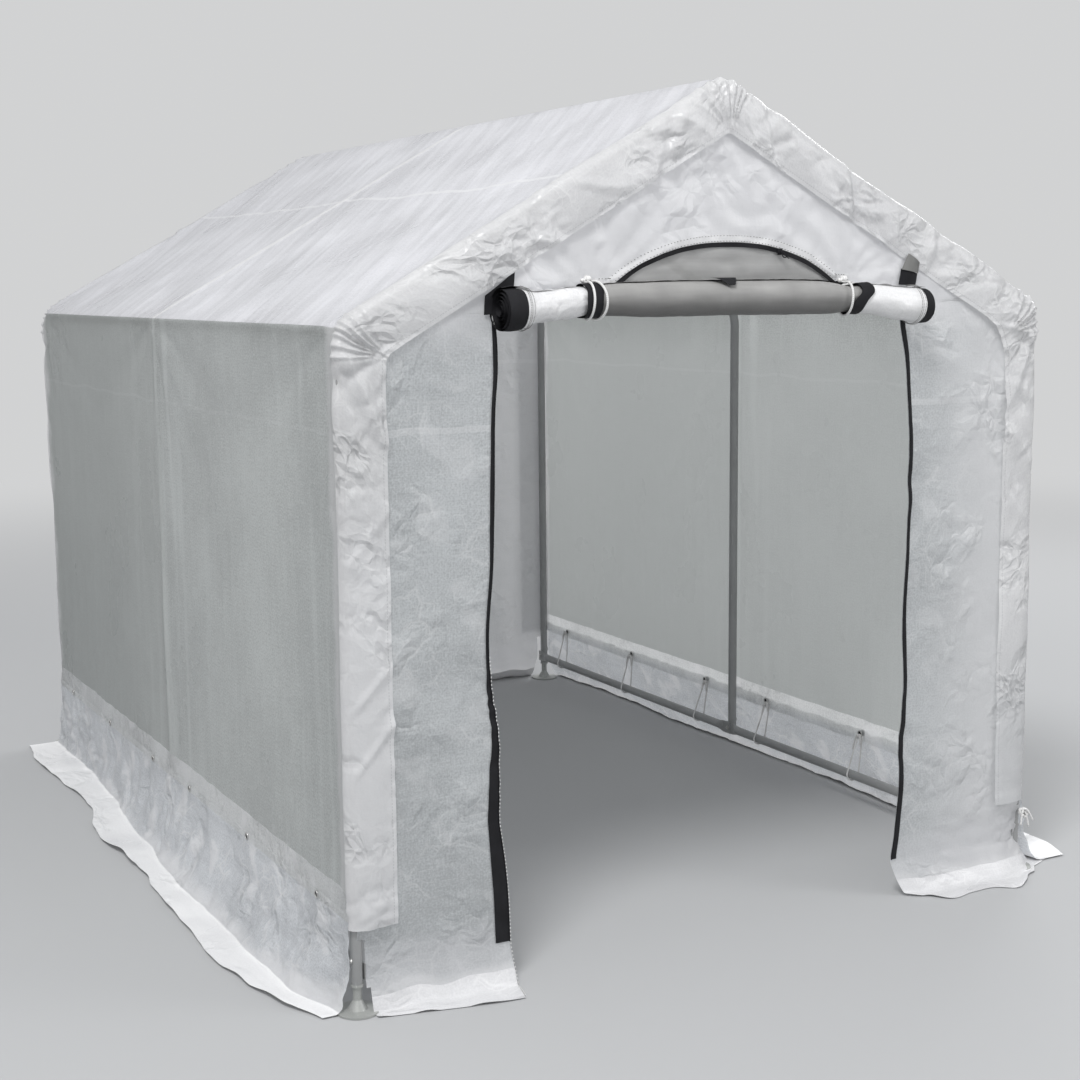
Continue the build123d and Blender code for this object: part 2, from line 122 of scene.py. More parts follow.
def creased(noise, u, v, octaves=3):
    """Relief of slack film, about -1 to 1: soft bulges that meet in creases."""
    total, gain = 0.0, 1.0
    u, v = u + 0.35 * noise(u * 0.7 + 31, v * 0.7), v + 0.35 * noise(u * 0.7, v * 0.7 + 57)
    for n in range(octaves):
        total += gain * (0.5 - np.abs(noise(u * 2**n + 17 * n, v * 2**n - 9 * n)) * 2)
        gain *= 0.5
    return total


def crumpled(cells, noise, u, v, octaves=3):
    """Relief of crumpled film, about -0.5 to 0.5: flat facets with sharp edges."""
    total, gain = 0.0, 1.0
    u, v = u + 0.45 * noise(u * 0.8 + 11, v * 0.8), v + 0.45 * noise(u * 0.8, v * 0.8 + 23)
    for n in range(octaves):
        total += gain * (cells(u * 2.1**n + 13 * n, v * 2.1**n + 5 * n) - 0.38)
        gain *= 0.45
    return total


def curve(stops, at):
    """A smooth curve through stops of (place, value), in order of place."""
    place, value = np.array(stops, float).T
    slope = np.gradient(value, place)
    k = np.clip(np.searchsorted(place, at) - 1, 0, len(place) - 2)
    width = place[k + 1] - place[k]
    t = np.clip((at - place[k]) / width, 0, 1)
    rise = value[k + 1] - value[k]
    bow = slope[k] * width * t * (1 - t) ** 2 - slope[k + 1] * width * t**2 * (1 - t)
    return value[k] + rise * t * t * (3 - 2 * t) + bow


def smooth(low, high, x):
    """0 below low, 1 above high, smooth between."""
    t = np.clip((x - low) / (high - low), 0, 1)
    return t * t * (3 - 2 * t)


def together(*parts):
    """Arrays stretched to one shape and stacked along a new last axis."""
    return np.stack(np.broadcast_arrays(*parts), -1)


def running(steps):
    """The length so far at each place, starting at 0, from the steps between places."""
    return np.concatenate([np.zeros_like(steps[..., :1]), np.cumsum(steps, -1)], -1)


def polar(opposite, adjacent):
    """Bearing and distance of places, from their two measures."""
    return np.arctan2(opposite, adjacent), np.hypot(opposite, adjacent)


def new_mesh(name, points, faces, cloth=None, material_of=None):
    """An object from points and faces, with the place on the cloth of each point."""
    mesh = bpy.data.meshes.new(name)
    faces = faces if isinstance(faces, list) else faces.tolist()
    mesh.from_pydata(np.asarray(points, float).reshape(-1, 3).tolist(), [], faces)
    mesh.shade_smooth()
    if cloth is not None:
        data = mesh.attributes.new("cloth", "FLOAT_VECTOR", "POINT").data
        data.foreach_set("vector", np.asarray(cloth, np.float32).ravel())
    if material_of is not None:
        mesh.polygons.foreach_set("material_index", np.asarray(material_of, np.int32))
    piece = bpy.data.objects.new(name, mesh)
    bpy.context.scene.collection.objects.link(piece)
    return piece


def grid_faces(rows, columns, closed=False):
    """Quads over a grid of points, numbered row by row."""
    i = np.arange(rows - 1)[:, None]
    j = np.arange(columns if closed else columns - 1)[None, :]
    k = (j + 1) % columns
    corners = [i * columns + j, i * columns + k, (i + 1) * columns + k, (i + 1) * columns + j]
    return together(*corners).reshape(-1, 4)


def joined(parts):
    """One set of points, faces and cloth places from several."""
    points, faces, cloth = zip(*parts)
    starts = np.cumsum([0, *map(len, points)])
    faces = [[n + int(start) for n in face] for start, part in zip(starts, faces) for face in part]
    return np.concatenate(points), faces, np.concatenate(cloth)


def finished(piece, materials, replaced=()):
    """Gives a piece its materials and its body."""
    for material in materials:
        piece.data.materials.append(material)
    if replaced:
        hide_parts(*replaced)
    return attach(piece, "root")


def assembled(name, parts, material, replaced=()):
    """One piece made of several small shapes."""
    return finished(new_mesh(name, *joined(parts)), [material], replaced)


# Materials

class Nodes:
    """Short ways to add and join the nodes of a material or a world."""

    def __init__(self, block, output="ShaderNodeOutputMaterial"):
        block.use_nodes = True
        self.block = block
        self.tree = block.node_tree
        self.tree.nodes.clear()
        self.output = self.add(output)

    def add(self, kind, inputs=(), **settings):
        node = self.tree.nodes.new(kind)
        for name, value in settings.items():
            setattr(node, name, value)
        for name, value in dict(inputs).items():
            self.put(value, node.inputs[name])
        return node

    def put(self, value, socket):
        if isinstance(value, bpy.types.NodeSocket):
            self.tree.links.new(value, socket)
        else:
            socket.default_value = value

    def ended(self, shader):
        """The material or world, with the shader as its surface."""
        self.put(shader, self.output.inputs["Surface"])
        return self.block

    def math(self, operation, a, b=0.0, c=0.0):
        return self.add("ShaderNodeMath", {0: a, 1: b, 2: c}, operation=operation).outputs[0]

    def times(self, a, b):
        return self.math("MULTIPLY", a, b)

    def onto(self, value, gain, base, middle=0.0):
        """The base, plus the value's distance from a middle times a gain."""
        if middle:
            value = self.math("SUBTRACT", value, middle)
        return self.math("MULTIPLY_ADD", value, gain, base)

    def mix(self, factor, a, b):
        return self.add("ShaderNodeMix", {0: factor, 6: a, 7: b}, data_type="RGBA").outputs[2]

    def ramp(self, value, low, high, **settings):
        """0 where the value is at low, 1 where it is at high."""
        inputs = {"Value": value, "From Min": low, "From Max": high}
        return self.add("ShaderNodeMapRange", inputs, **settings).outputs[0]

    def line(self, value, place, half_width):
        """1 where the value is within half_width of a place, else 0."""
        return self.math("COMPARE", value, place, half_width)

    def noise(self, vector, scale, detail=2.0, dimensions="3D"):
        inputs = {"Vector": vector, "Scale": scale, "Detail": detail}
        return self.add("ShaderNodeTexNoise", inputs, noise_dimensions=dimensions).outputs["Fac"]

    def flat_noise(self, vector, scale=1.0, detail=2.0):
        return self.noise(vector, scale, detail, "2D")

    def swayed(self, value, cloth, scale, detail, sway):
        """The value, moved to either side by noise over the cloth."""
        moved = self.math("SUBTRACT", value, sway / 2)
        return self.onto(self.flat_noise(cloth, scale, detail), sway, moved)

    def facets(self, vector):
        """0 along the borders of cells, rising to their middles."""
        inputs = {"Vector": vector, "Scale": 1.0}
        settings = {"voronoi_dimensions": "2D", "feature": "DISTANCE_TO_EDGE"}
        return self.add("ShaderNodeTexVoronoi", inputs, **settings).outputs["Distance"]

    def stretched(self, vector, scale, turn=0.0):
        """The vector turned in its own plane and scaled."""
        inputs = {"Vector": vector, "Rotation": (0, 0, turn)}
        turned = self.add("ShaderNodeMapping", inputs).outputs[0]
        return self.add("ShaderNodeMapping", {"Vector": turned, "Scale": scale}).outputs[0]

    def wandering(self, vector):
        """The vector led astray by noise, so that what lies along it isn't straight."""
        noise = self.add("ShaderNodeTexNoise", {"Vector": vector, "Scale": 6.0, "Detail": 3.0})
        inputs = {0: noise.outputs["Color"], 1: (0.5, 0.5, 0.5)}
        astray = self.add("ShaderNodeVectorMath", inputs, operation="SUBTRACT").outputs[0]
        inputs = {0: astray, 1: (0.12, 0.12, 0), 2: vector}
        return self.add("ShaderNodeVectorMath", inputs, operation="MULTIPLY_ADD").outputs[0]

    def bump(self, height, strength, distance):
        inputs = {"Height": height, "Strength": strength, "Distance": distance}
        return self.add("ShaderNodeBump", inputs).outputs[0]

    def principled(self, base, rough, normal, specular=0.5, metallic=0.0):
        inputs = {"Base Color": base, "Roughness": rough, "Normal": normal,
                  "Specular IOR Level": specular, "Metallic": metallic}
        return self.add("ShaderNodeBsdfPrincipled", inputs).outputs[0]

    def blend(self, share, first, second):
        return self.add("ShaderNodeMixShader", {0: share, 1: first, 2: second}).outputs[0]

    def pierced(self, share, shader):
        """The material, with the shader's surface open by a share."""
        return self.ended(self.blend(share, shader, self.add("ShaderNodeBsdfTransparent").outputs[0]))

    def cloth(self):
        """The place on the cloth: metres along, metres across, metres from the hem."""
        vector = self.add("ShaderNodeAttribute", attribute_name="cloth").outputs["Vector"]
        parts = self.add("ShaderNodeSeparateXYZ", {0: vector})
        return vector, parts.outputs[0], parts.outputs[1], parts.outputs[2]


BRIGHTEST = 0.93  # of any film
# The white of painted highlights along creases
CREASE_HIGHLIGHT_WHITE = (0.93, 0.93, 0.93, 1)
# The white of painted highlight glints, and of the lighter weld lines
GLINT_AND_WELD_WHITE = (0.92, 0.92, 0.93, 1)
STITCH = 0.007
MESH_PITCH = 0.0016


def tinted(colour, gain, most=1.0, lift=0.0):
    """A colour made lighter or darker, with its alpha."""
    return (*[min(most, c * gain + lift) for c in colour], 1)


def film(name, colour, through, clear, streaks, crumple, facet, glints=0.0, grain=1.0,
         streak_turn=0.0, streak_size=46, crinkle_highlights=1.0, seams=(), weld_show=0.45, rib=0.0,
         hem=None, fold_highlight=0.0, shifts=()):
    """Woven, coated polyethylene film: its grain, streaks and creases, and the light through it, with
    painted light and shade along the streaks and painted highlights on creases, folds, ribs and glints.

    through and clear are the shares of scattered and straight light that it lets through.
    """
    n = Nodes(bpy.data.materials.new(name))
    cloth, along, across, edge = n.cloth()
    placed = n.wandering(cloth)
    big = n.facets(n.stretched(placed, (*facet, 0)))
    small = n.facets(n.stretched(placed, (facet[0] * 2.7, facet[1] * 2.7, 0)))
    threads = n.math("ADD", n.flat_noise(n.stretched(cloth, (520, 16, 1))),
                     n.flat_noise(n.stretched(cloth, (16, 520, 1))))
    specks, clouds = n.flat_noise(cloth, 210.0, 3), n.flat_noise(cloth, 3.4, 4)
    from_ridge = n.math("ABSOLUTE", along)
    mirrored = n.add("ShaderNodeCombineXYZ", {0: from_ridge, 1: across}).outputs[0]
    pulled = n.flat_noise(n.stretched(mirrored, (2.0, streak_size, 1), streak_turn), 1.0, 3)

    # Its tone: grain and streaks with painted light and shade, and painted highlights along the creases
    shade = n.onto(clouds, 1.3, -0.15)
    shade = n.onto(threads, 0.6 * grain, shade, middle=1.0)
    shade = n.onto(specks, 1.5 * grain, shade, middle=0.5)
    # Painted light and shade: the pulled streaks lighten and darken the tone along the folds that their bump
    # raises
    shade = n.onto(pulled, 1.6 * streaks, shade, middle=0.5)
    base = n.mix(shade, tinted(colour, 0.85), tinted(colour, 1.14, BRIGHTEST))
    # Painted highlight: the creases are whitened where the film is bunched, for the light that crinkles
    # catch
    bunched_highlight_mask = n.ramp(n.flat_noise(placed, 7.5), 0.50, 0.62)
    crease = n.math("MAXIMUM", n.ramp(big, 0.060, 0.0), n.times(n.ramp(small, 0.075, 0.0), 0.8))
    base = n.mix(n.times(n.times(crease, bunched_highlight_mask), crumple * crinkle_highlights), base, CREASE_HIGHLIGHT_WHITE)
    # Painted highlight: light vertical streaks near the ribs, for the light through the hanging folds
    if fold_highlight:
        near = n.ramp(n.math("PINGPONG", edge, RIB_HALF_LENGTH / 2), 0.42, 0.02)
        fold_highlight_streaks = n.ramp(n.flat_noise(n.stretched(mirrored, (1.1, 15, 1))), 0.50, 0.68)
        base = n.mix(n.times(n.times(fold_highlight_streaks, near), fold_highlight), base, tinted(colour, 1.4, BRIGHTEST))
    # Painted highlight: white glints in patches, where crumpled film would catch the light
    if glints:
        glint_spots = n.ramp(n.flat_noise(n.stretched(placed, (9, 13, 1), 0.6), 1.0, 3), 0.56, 0.68)
        base = n.mix(n.times(glint_spots, glints), base, GLINT_AND_WELD_WHITE)
    for axis, start, end, amount, tone in shifts:
        place = n.swayed((along, across, edge)[axis], cloth, 9.0, 3, 0.05)
        over = n.ramp(place, start, end, interpolation_type="SMOOTHSTEP")
        base = n.mix(n.times(over, amount), base, (*tone, 1))
    for axis, place, half_width in seams:
        weld = n.line(n.swayed((from_ridge, across)[axis], cloth, 5.0, 1, 0.02), place, half_width)
        base = n.mix(n.times(weld, weld_show), base, GLINT_AND_WELD_WHITE)
    # Painted highlight: a light line where the film is pressed out over a rib
    if rib:
        over = n.ramp(n.math("ABSOLUTE", edge), 0.016, 0.006)
        base = n.mix(n.times(over, rib), base, tinted(colour, 1.35, BRIGHTEST))
    if hem:
        dash = n.math("GREATER_THAN", n.math("SINE", n.times(along, 2 * pi / STITCH)), -0.5)
        stitch = n.times(n.line(edge, hem, 0.0011), n.times(dash, 0.3))
        base = n.mix(stitch, base, tinted(colour, 0.5))

    # Its relief, in metres
    slack = n.ramp(n.flat_noise(placed, 5.5), 0.47, 0.66)
    height = n.times(n.onto(small, 0.35, big), n.onto(slack, 0.020 * crumple, 0.0020 * crumple))
    for value, gain in ((threads, 0.00008), (specks, 0.00022), (pulled, 0.0016 * streaks)):
        height = n.onto(value, gain, height)
    normal = n.bump(height, 1.0, 1.0)
    front = n.principled(base, n.onto(clouds, 0.2, 0.20), normal, specular=0.55)
    back = n.add("ShaderNodeBsdfTranslucent", {"Color": base, "Normal": normal}).outputs[0]
    return n.pierced(clear, n.blend(through, front, back))


def screen(name, colour, clear, under=0.0):
    """Fine insect mesh, with painted shade by a share on faces that look down."""
    n = Nodes(bpy.data.materials.new(name))
    cloth, along, across, _ = n.cloth()
    warp, weft = (n.math("SINE", n.times(value, 2 * pi / MESH_PITCH)) for value in (along, across))
    folds = n.noise(n.stretched(cloth, (3, 40, 1)), 1.0, 3)
    shade = n.onto(folds, 1.2, n.noise(cloth, 9.0, 4), middle=0.5)
    base = n.mix(shade, tinted(colour, 0.72), tinted(colour, 1.25))
    facing = n.add("ShaderNodeSeparateXYZ", {0: n.add("ShaderNodeNewGeometry").outputs["Normal"]})
    # Painted shade: the mesh darkens where its faces look down
    down = n.ramp(facing.outputs[2], 0.55, -0.75)
    base = n.mix(n.times(down, under), base, tinted(colour, 0.25))
    height = n.onto(n.math("MAXIMUM", warp, weft), 0.05, n.times(folds, 0.5))
    return n.pierced(clear, n.principled(base, 0.45, n.bump(height, 0.5, 0.003)))


def webbing(name, colour, rib=0.0022):
    """Woven tape or cord, with ribs across it."""
    n = Nodes(bpy.data.materials.new(name))
    cloth, along, _, _ = n.cloth()
    ribs = n.math("SINE", n.times(along, 2 * pi / rib))
    shade = n.onto(ribs, 0.12, n.noise(cloth, 22.0, 4))
    base = n.mix(shade, tinted(colour, 0.6), tinted(colour, 1.6, lift=0.01))
    height = n.onto(n.noise(cloth, 700.0), 0.5, ribs)
    return n.ended(n.principled(base, 0.75, n.bump(height, 0.4, 0.0006), specular=0.25))


def coated_metal(name, colour, metallic, rough, grain, speckle):
    """Powder coat or zinc: fine orange peel, dust and a few scuffs, from the object's own place."""
    n = Nodes(bpy.data.materials.new(name))
    place = n.add("ShaderNodeTexCoord").outputs["Object"]
    peel, dust = n.noise(place, grain, 3), n.noise(place, 9.0, 4)
    scuffs = n.math("GREATER_THAN", n.noise(n.stretched(place, (180, 180, 14)), 1.0, 4), 0.69)
    tone = n.onto(peel, speckle, dust, middle=0.5)
    base = n.mix(tone, tinted(colour, 0.8), tinted(colour, 1.2))
    base = n.mix(n.times(scuffs, 0.35), base, tinted(colour, 1.9))
    wear = n.onto(dust, 0.2, rough - 0.1)
    return n.ended(n.principled(base, wear, n.bump(peel, 0.25, 0.0004), metallic=metallic))


ROOF_WELD = 0.375 / cos(PITCH)
EAVE_ALONG = COVER_OUT / cos(PITCH)
EAVE_Z = RIDGE_CORNER - COVER_OUT * tan(PITCH) + COVER_OFFSET / cos(PITCH)
RIDGE_Z = RIDGE_CORNER + COVER_OFFSET / cos(PITCH)
WALL_WELD = EAVE_ALONG + EAVE_Z - WALL_SEAM

WHITE = (0.90, 0.90, 0.91)
HEAD_WHITE = (0.87, 0.87, 0.885)
LIP_SIDE = (0.76, 0.76, 0.765)

# A film's seams are (axis, place, half width). Its shifts are (axis, where a change of tone
# starts, where it ends, its share, the new tone). The axes are along, across and from the hem.
roof_film = film(
    "roof_film", (0.76, 0.76, 0.79), 0.30, 0.02, 0.85, 0.10, (9, 24), grain=0.8, rib=0.8,
    streak_turn=radians(38), streak_size=34, seams=[(0, ROOF_WELD, 0.006)], weld_show=0.6)
lip_film = film(
    "lip_film", (0.83, 0.83, 0.84), 0.42, 0.0, 0.2, 0.8, (15, 19), grain=0.4, hem=0.009,
    shifts=[(0, 1.70, 2.0, 0.55, (0.68, 0.69, 0.70)), (0, -1.2, -1.5, 0.6, WHITE)])
# The walls: painted shade darkens them toward the back bay, painted light makes the right wall lighter, and
# the lip's white film shows at their ends
wall_film = film(
    "wall_film", (0.53, 0.55, 0.54), 0.48, 0.04, 0.22, 0.10, (9, 12), grain=1.7, rib=0.6,
    streak_size=40, crinkle_highlights=0.3, seams=[(0, WALL_WELD, 0.004)], weld_show=0.07, fold_highlight=0.45,
    shifts=[(2, 0.010, 0.045, 0.40, (0.40, 0.42, 0.405)), (2, 0.05, 0.60, 0.45, (0.40, 0.42, 0.41)),
            (0, 1.05, 1.25, 0.7, (0.60, 0.62, 0.61)), (2, -1.150, -1.185, 0.7, LIP_SIDE),
            (2, 1.175, 1.205, 0.8, LIP_SIDE)])
panel_film = film(
    "panel_film", (0.585, 0.605, 0.615), 0.42, 0.03, 0.2, 0.5, (12, 13), 0.22, grain=1.3,
    crinkle_highlights=0.6, seams=[(1, 1.195, 0.007)], weld_show=0.25,
    shifts=[(1, 1.32, 1.49, 1.0, HEAD_WHITE), (0, 0.50, 0.80, 0.85, (0.81, 0.81, 0.82)),
            (1, 0.17, 0.10, 0.45, (0.80, 0.80, 0.82)), (1, 0.060, 0.035, 0.6, WHITE)])
header_film = film("header_film", HEAD_WHITE, 0.34, 0.0, 0.2, 0.35, (7, 9), grain=0.5)
skirt_film = film("skirt_film", (0.70, 0.72, 0.745), 0.40, 0.05, 0.3, 0.55, (12, 16), 0.6,
                  grain=1.2, shifts=[(2, 0.125, 0.075, 0.75, WHITE)])
band_film = film("band_film", (0.78, 0.79, 0.79), 0.60, 0.02, 0.3, 0.5, (20, 26), 0.5, rib=0.4)
# Two copies of one ground film: the second is painted darker, painted shade that offsets the stronger lamp
# light where it lies
ground_film, ground_film_painted_darker = (
    film(name, colour, 0.05, 0.0, 0.2, 0.35, (8, 12), grain=0.5)
    for name, colour in (("ground_film", (0.92, 0.92, 0.93)), ("ground_film_painted_darker", (0.70, 0.70, 0.71))))
roll_film = film("roll_film", (0.84, 0.84, 0.85), 0.12, 0.0, 0.4, 0.4, (14, 14), grain=0.5)
grey_screen = screen("grey_screen", (0.30, 0.30, 0.295), 0.10)
roll_screen = screen("roll_screen", (0.30, 0.297, 0.29), 0.0, 0.75)
black_tape = webbing("black_tape", (0.006, 0.006, 0.008))
grey_thread_and_highlight_tape = webbing("grey_thread_and_highlight_tape", (0.17, 0.17, 0.165))
white_cord = webbing("white_cord", (0.74, 0.73, 0.70), rib=0.004)
grey_coat = coated_metal("grey_coat", (0.325, 0.33, 0.33), 0.3, 0.42, 900.0, 0.5)
zinc = coated_metal("zinc", (0.41, 0.42, 0.405), 0.35, 0.5, 500.0, 0.8)
bolt_zinc = coated_metal("bolt_zinc", (0.55, 0.55, 0.54), 0.9, 0.32, 1200.0, 0.4)


# The cover: one length of film from the left ground seam over the ridge to the right one

def house_line(q, offset, eave_radius, ridge_radius):
    """Points and outward normals of the house's section, moved out by offset.

    q goes from 0 at the left foot by 1 at the left eave, 2 at the ridge and 3 at the right
    eave to 4 at the right foot.
    """
    q, offset, eave_radius, ridge_radius = np.broadcast_arrays(
        q, offset, np.maximum(eave_radius, 1e-6), np.maximum(ridge_radius, 1e-6))
    side = np.where(q <= 2, -1.0, 1.0)
    p = np.where(q <= 2, q, 4 - q)
    half = COVER_OUT + offset
    eave = RIDGE_CORNER - half * tan(PITCH) + (COVER_OFFSET + offset) / cos(PITCH)
    ridge = RIDGE_CORNER + (COVER_OFFSET + offset) / cos(PITCH)
    wall, roof = eave - LIP_BOTTOM, half / cos(PITCH)
    up = np.clip(p, 0, 1) * wall
    over = np.clip(p - 1, 0, 1) * roof
    x, z = -half + over * cos(PITCH), LIP_BOTTOM + up + over * sin(PITCH)
    lean = np.where(p < 1, 0.0, pi / 2 - PITCH)
    turn = pi / 2 - PITCH
    reach = eave_radius * tan(turn / 2)
    from_eave = np.where(p < 1, up - wall, over)
    a = np.clip((from_eave + reach) / (2 * reach), 0, 1) * turn
    bent = np.abs(from_eave) < reach
    x = np.where(bent, -half + eave_radius * (1 - np.cos(a)), x)
    z = np.where(bent, eave - reach + eave_radius * np.sin(a), z)
    lean = np.where(bent, a, lean)
    reach = ridge_radius * tan(PITCH)
    from_ridge = roof - over
    a = np.clip(from_ridge / reach, 0, 1) * PITCH
    bent = (from_ridge < reach) & (p > 1)
    x = np.where(bent, -ridge_radius * np.sin(a), x)
    z = np.where(bent, ridge + ridge_radius * (np.cos(a) - 1 / cos(PITCH)), z)
    lean = np.where(bent, pi / 2 - a, lean)
    return -side * x, z, side * np.cos(lean), np.sin(lean)


def section_places(fineness=1.0):
    """The places q across the cover, closer together at the eaves and ridge."""
    near_eave, near_ridge = 0.15 / (EAVE_Z - LIP_BOTTOM), 0.09 / EAVE_ALONG
    past_eave = 0.15 / EAVE_ALONG
    spans = [(0, 1 - near_eave, 84), (1 - near_eave, 1, 28), (1, 1 + past_eave, 28),
             (1 + past_eave, 2 - near_ridge, 66), (2 - near_ridge, 2, 14)]
    left = [np.linspace(a, b, int(count * fineness), endpoint=False) for a, b, count in spans]
    left = np.concatenate(left)
    return np.concatenate([left, [2.0], 4 - left[::-1]])


RIB_ROUND = 0.080  # the cover's radius over an eave bend
PEAK_ROUND = 0.062
FOLD_ROUND = 0.009  # between the ribs, where a rail fills the fold
INNER_ROUND = (0.030, 0.150)  # of the lips' inner edge at the left and right eaves
INNER_PEAK_ROUND = 0.02
WRAP_STEPS = 7
LIP_STEPS = 22
LIP_FINENESS = 2.2
MAIN_ROWS = 186
LAP = 0.004  # the lip's overlap on the cover
LIP_LIFT = 0.0004
INNER_X = COVER_OUT - LIP_WIDTH
INNER_TOP = RIDGE_CORNER + (COVER_OFFSET - LIP_WIDTH) / cos(PITCH)
INNER_Z = INNER_TOP - INNER_X * tan(PITCH)
HEM_TOP = 0.256  # of the doubled strip along the walls' feet


def lip_rows():
    """For each row of a lip from its inner edge to its lap on the cover: y out and offset."""
    reach_out = LIP_FACE - RIB_HALF_LENGTH
    lip = np.linspace(LIP_WIDTH, COVER_OFFSET, LIP_STEPS, endpoint=False)
    turn = np.linspace(pi / 2, 0, WRAP_STEPS)
    y = np.concatenate([np.full(LIP_STEPS, LIP_FACE), RIB_HALF_LENGTH + reach_out * np.sin(turn)])
    offset = np.concatenate([-lip, -COVER_OFFSET * (1 - np.cos(turn))])
    return np.append(y, RIB_HALF_LENGTH - LAP), np.append(offset, 0)


def fan(noise, u, v, spread, reach):
    """Folds that run out from a point and die away, for places (u, v) measured from it."""
    distance, bearing = np.hypot(u, v) + 1e-6, np.arctan2(v, u)
    fade = smooth(0.02, 0.12, distance) * (1 - smooth(0.35 * reach, reach, distance))
    return fade * (0.5 - np.abs(noise(bearing * spread + 40, distance * 2.0)) * 2)


def pleats(noise, bearing, distance, first, last, spacing, reach):
    """Sharp straight pleats that run out from a corner between two bearings, in degrees."""
    bearing = np.degrees(bearing) + 4 * noise(distance / 0.06, bearing * 2)
    spread = 1 + 0.25 * noise(bearing / 17.0, 4.0)
    ridge = np.abs((bearing * spread / spacing) % 1 - 0.5) * 2
    window = smooth(first - 6, first + 4, bearing) * smooth(last + 6, last - 4, bearing)
    window = window * smooth(0.008, 0.04, distance)
    return (ridge**1.6 - 0.38) * window * smooth(reach, 0.7 * reach, distance)


# Where the lips are caught and crumpled: side, metres up the slope from the eave, reach
PUCKERS = [(-1, 0.47, 0.13), (-1, 0.86, 0.12), (1, 0.62, 0.11), (1, 0.33, 0.09), (1, 0.90, 0.09)]


def roof_pulls(streaks, folds, y, from_eave, side):
    """The roof's folds, from the back of each bay at the ridge to its front at the eave."""
    cross = y - 0.78 * from_eave + 0.16 * from_eave**2 + side
    soft = streaks(cross / 0.085, from_eave / 0.9) + 0.5 * streaks(cross / 0.041 + 9, from_eave / 0.7)
    crest = 0.4 - np.abs(streaks(cross / 0.11 + 60, from_eave / 1.3 + 5)) * 2
    fine = 0.3 - np.abs(folds(cross / 0.055, from_eave / 0.8)) * 2
    return 0.0034 * soft + 0.0060 * (np.maximum(crest, -0.3) + 0.4 * np.maximum(fine, 0))


def lip_relief(folds, crumples, cells, side, on_wall, from_eave, y, offset, x, z):
    """How far the lips stand out: crushed and rolling, with puckers, creases and pleats."""
    lip = smooth(0, 0.03, -offset)
    along = (from_eave * np.where(on_wall, -1, 1) + side + 20 * np.sign(y))
    quiet = smooth(0.0, 0.7, folds(along / 0.13 + 4, offset / 0.16))
    crushed = crumpled(cells, crumples, along / 0.12, (offset + 0.3 * along) / 0.075, 3)
    rolling = folds(along / 0.16, offset / 0.11 + 5) + 0.5 * folds(along / 0.07 + 8, offset / 0.08)
    out = 0.0105 * crushed * quiet * (0.2 + 0.8 * lip) + 0.0040 * rolling
    slanted = np.abs(folds((along + 1.2 * offset) / 0.15, offset / 0.25))
    out += lip * 0.020 * np.maximum(0.22 - slanted, 0)
    for way, place, spread in PUCKERS:
        u, v = from_eave - place, offset + 0.058
        near = (~on_wall) * (np.where(side == 0, -1, 1) == way)
        near = near * smooth(spread, 0.3 * spread, np.hypot(u, v))
        slant = u - 0.55 * v
        dent = smooth(0.030, 0.0, np.abs(slant)) - 0.6 * smooth(0.03, 0.0, np.abs(slant - 0.03))
        out += near * (0.013 * crushed * (1 - quiet) - 0.007 * dent)
    bearing, distance = polar(z - INNER_Z, np.abs(x) - INNER_X)
    out += 0.0070 * pleats(folds, bearing, distance, -4, 66, 10.5, 0.145)
    pocket = np.exp(-(((np.degrees(bearing) + 26) / 9) ** 2)) * smooth(0.02, 0.06, distance)
    out -= 0.009 * pocket * smooth(0.2, 0.1, distance)
    down = (1.36 - z) / 0.19
    crease = np.clip(1 - np.abs(np.abs(x) - (0.905 - 0.09 * down)) / 0.024, 0, 1)
    out += 0.012 * crease * smooth(-0.05, 0.1, down) * smooth(1.15, 0.9, down)
    bearing, distance = polar(x, z - INNER_TOP)
    out += 0.007 * pleats(folds, bearing + 0.1, distance, -48, 44, 13, 0.17)
    wrap = smooth(RIB_HALF_LENGTH - 0.012, RIB_HALF_LENGTH + 0.006, np.abs(y))
    return wrap * out + 0.005 * lip * np.sin(pi * np.clip(-offset / LIP_WIDTH, 0, 1))


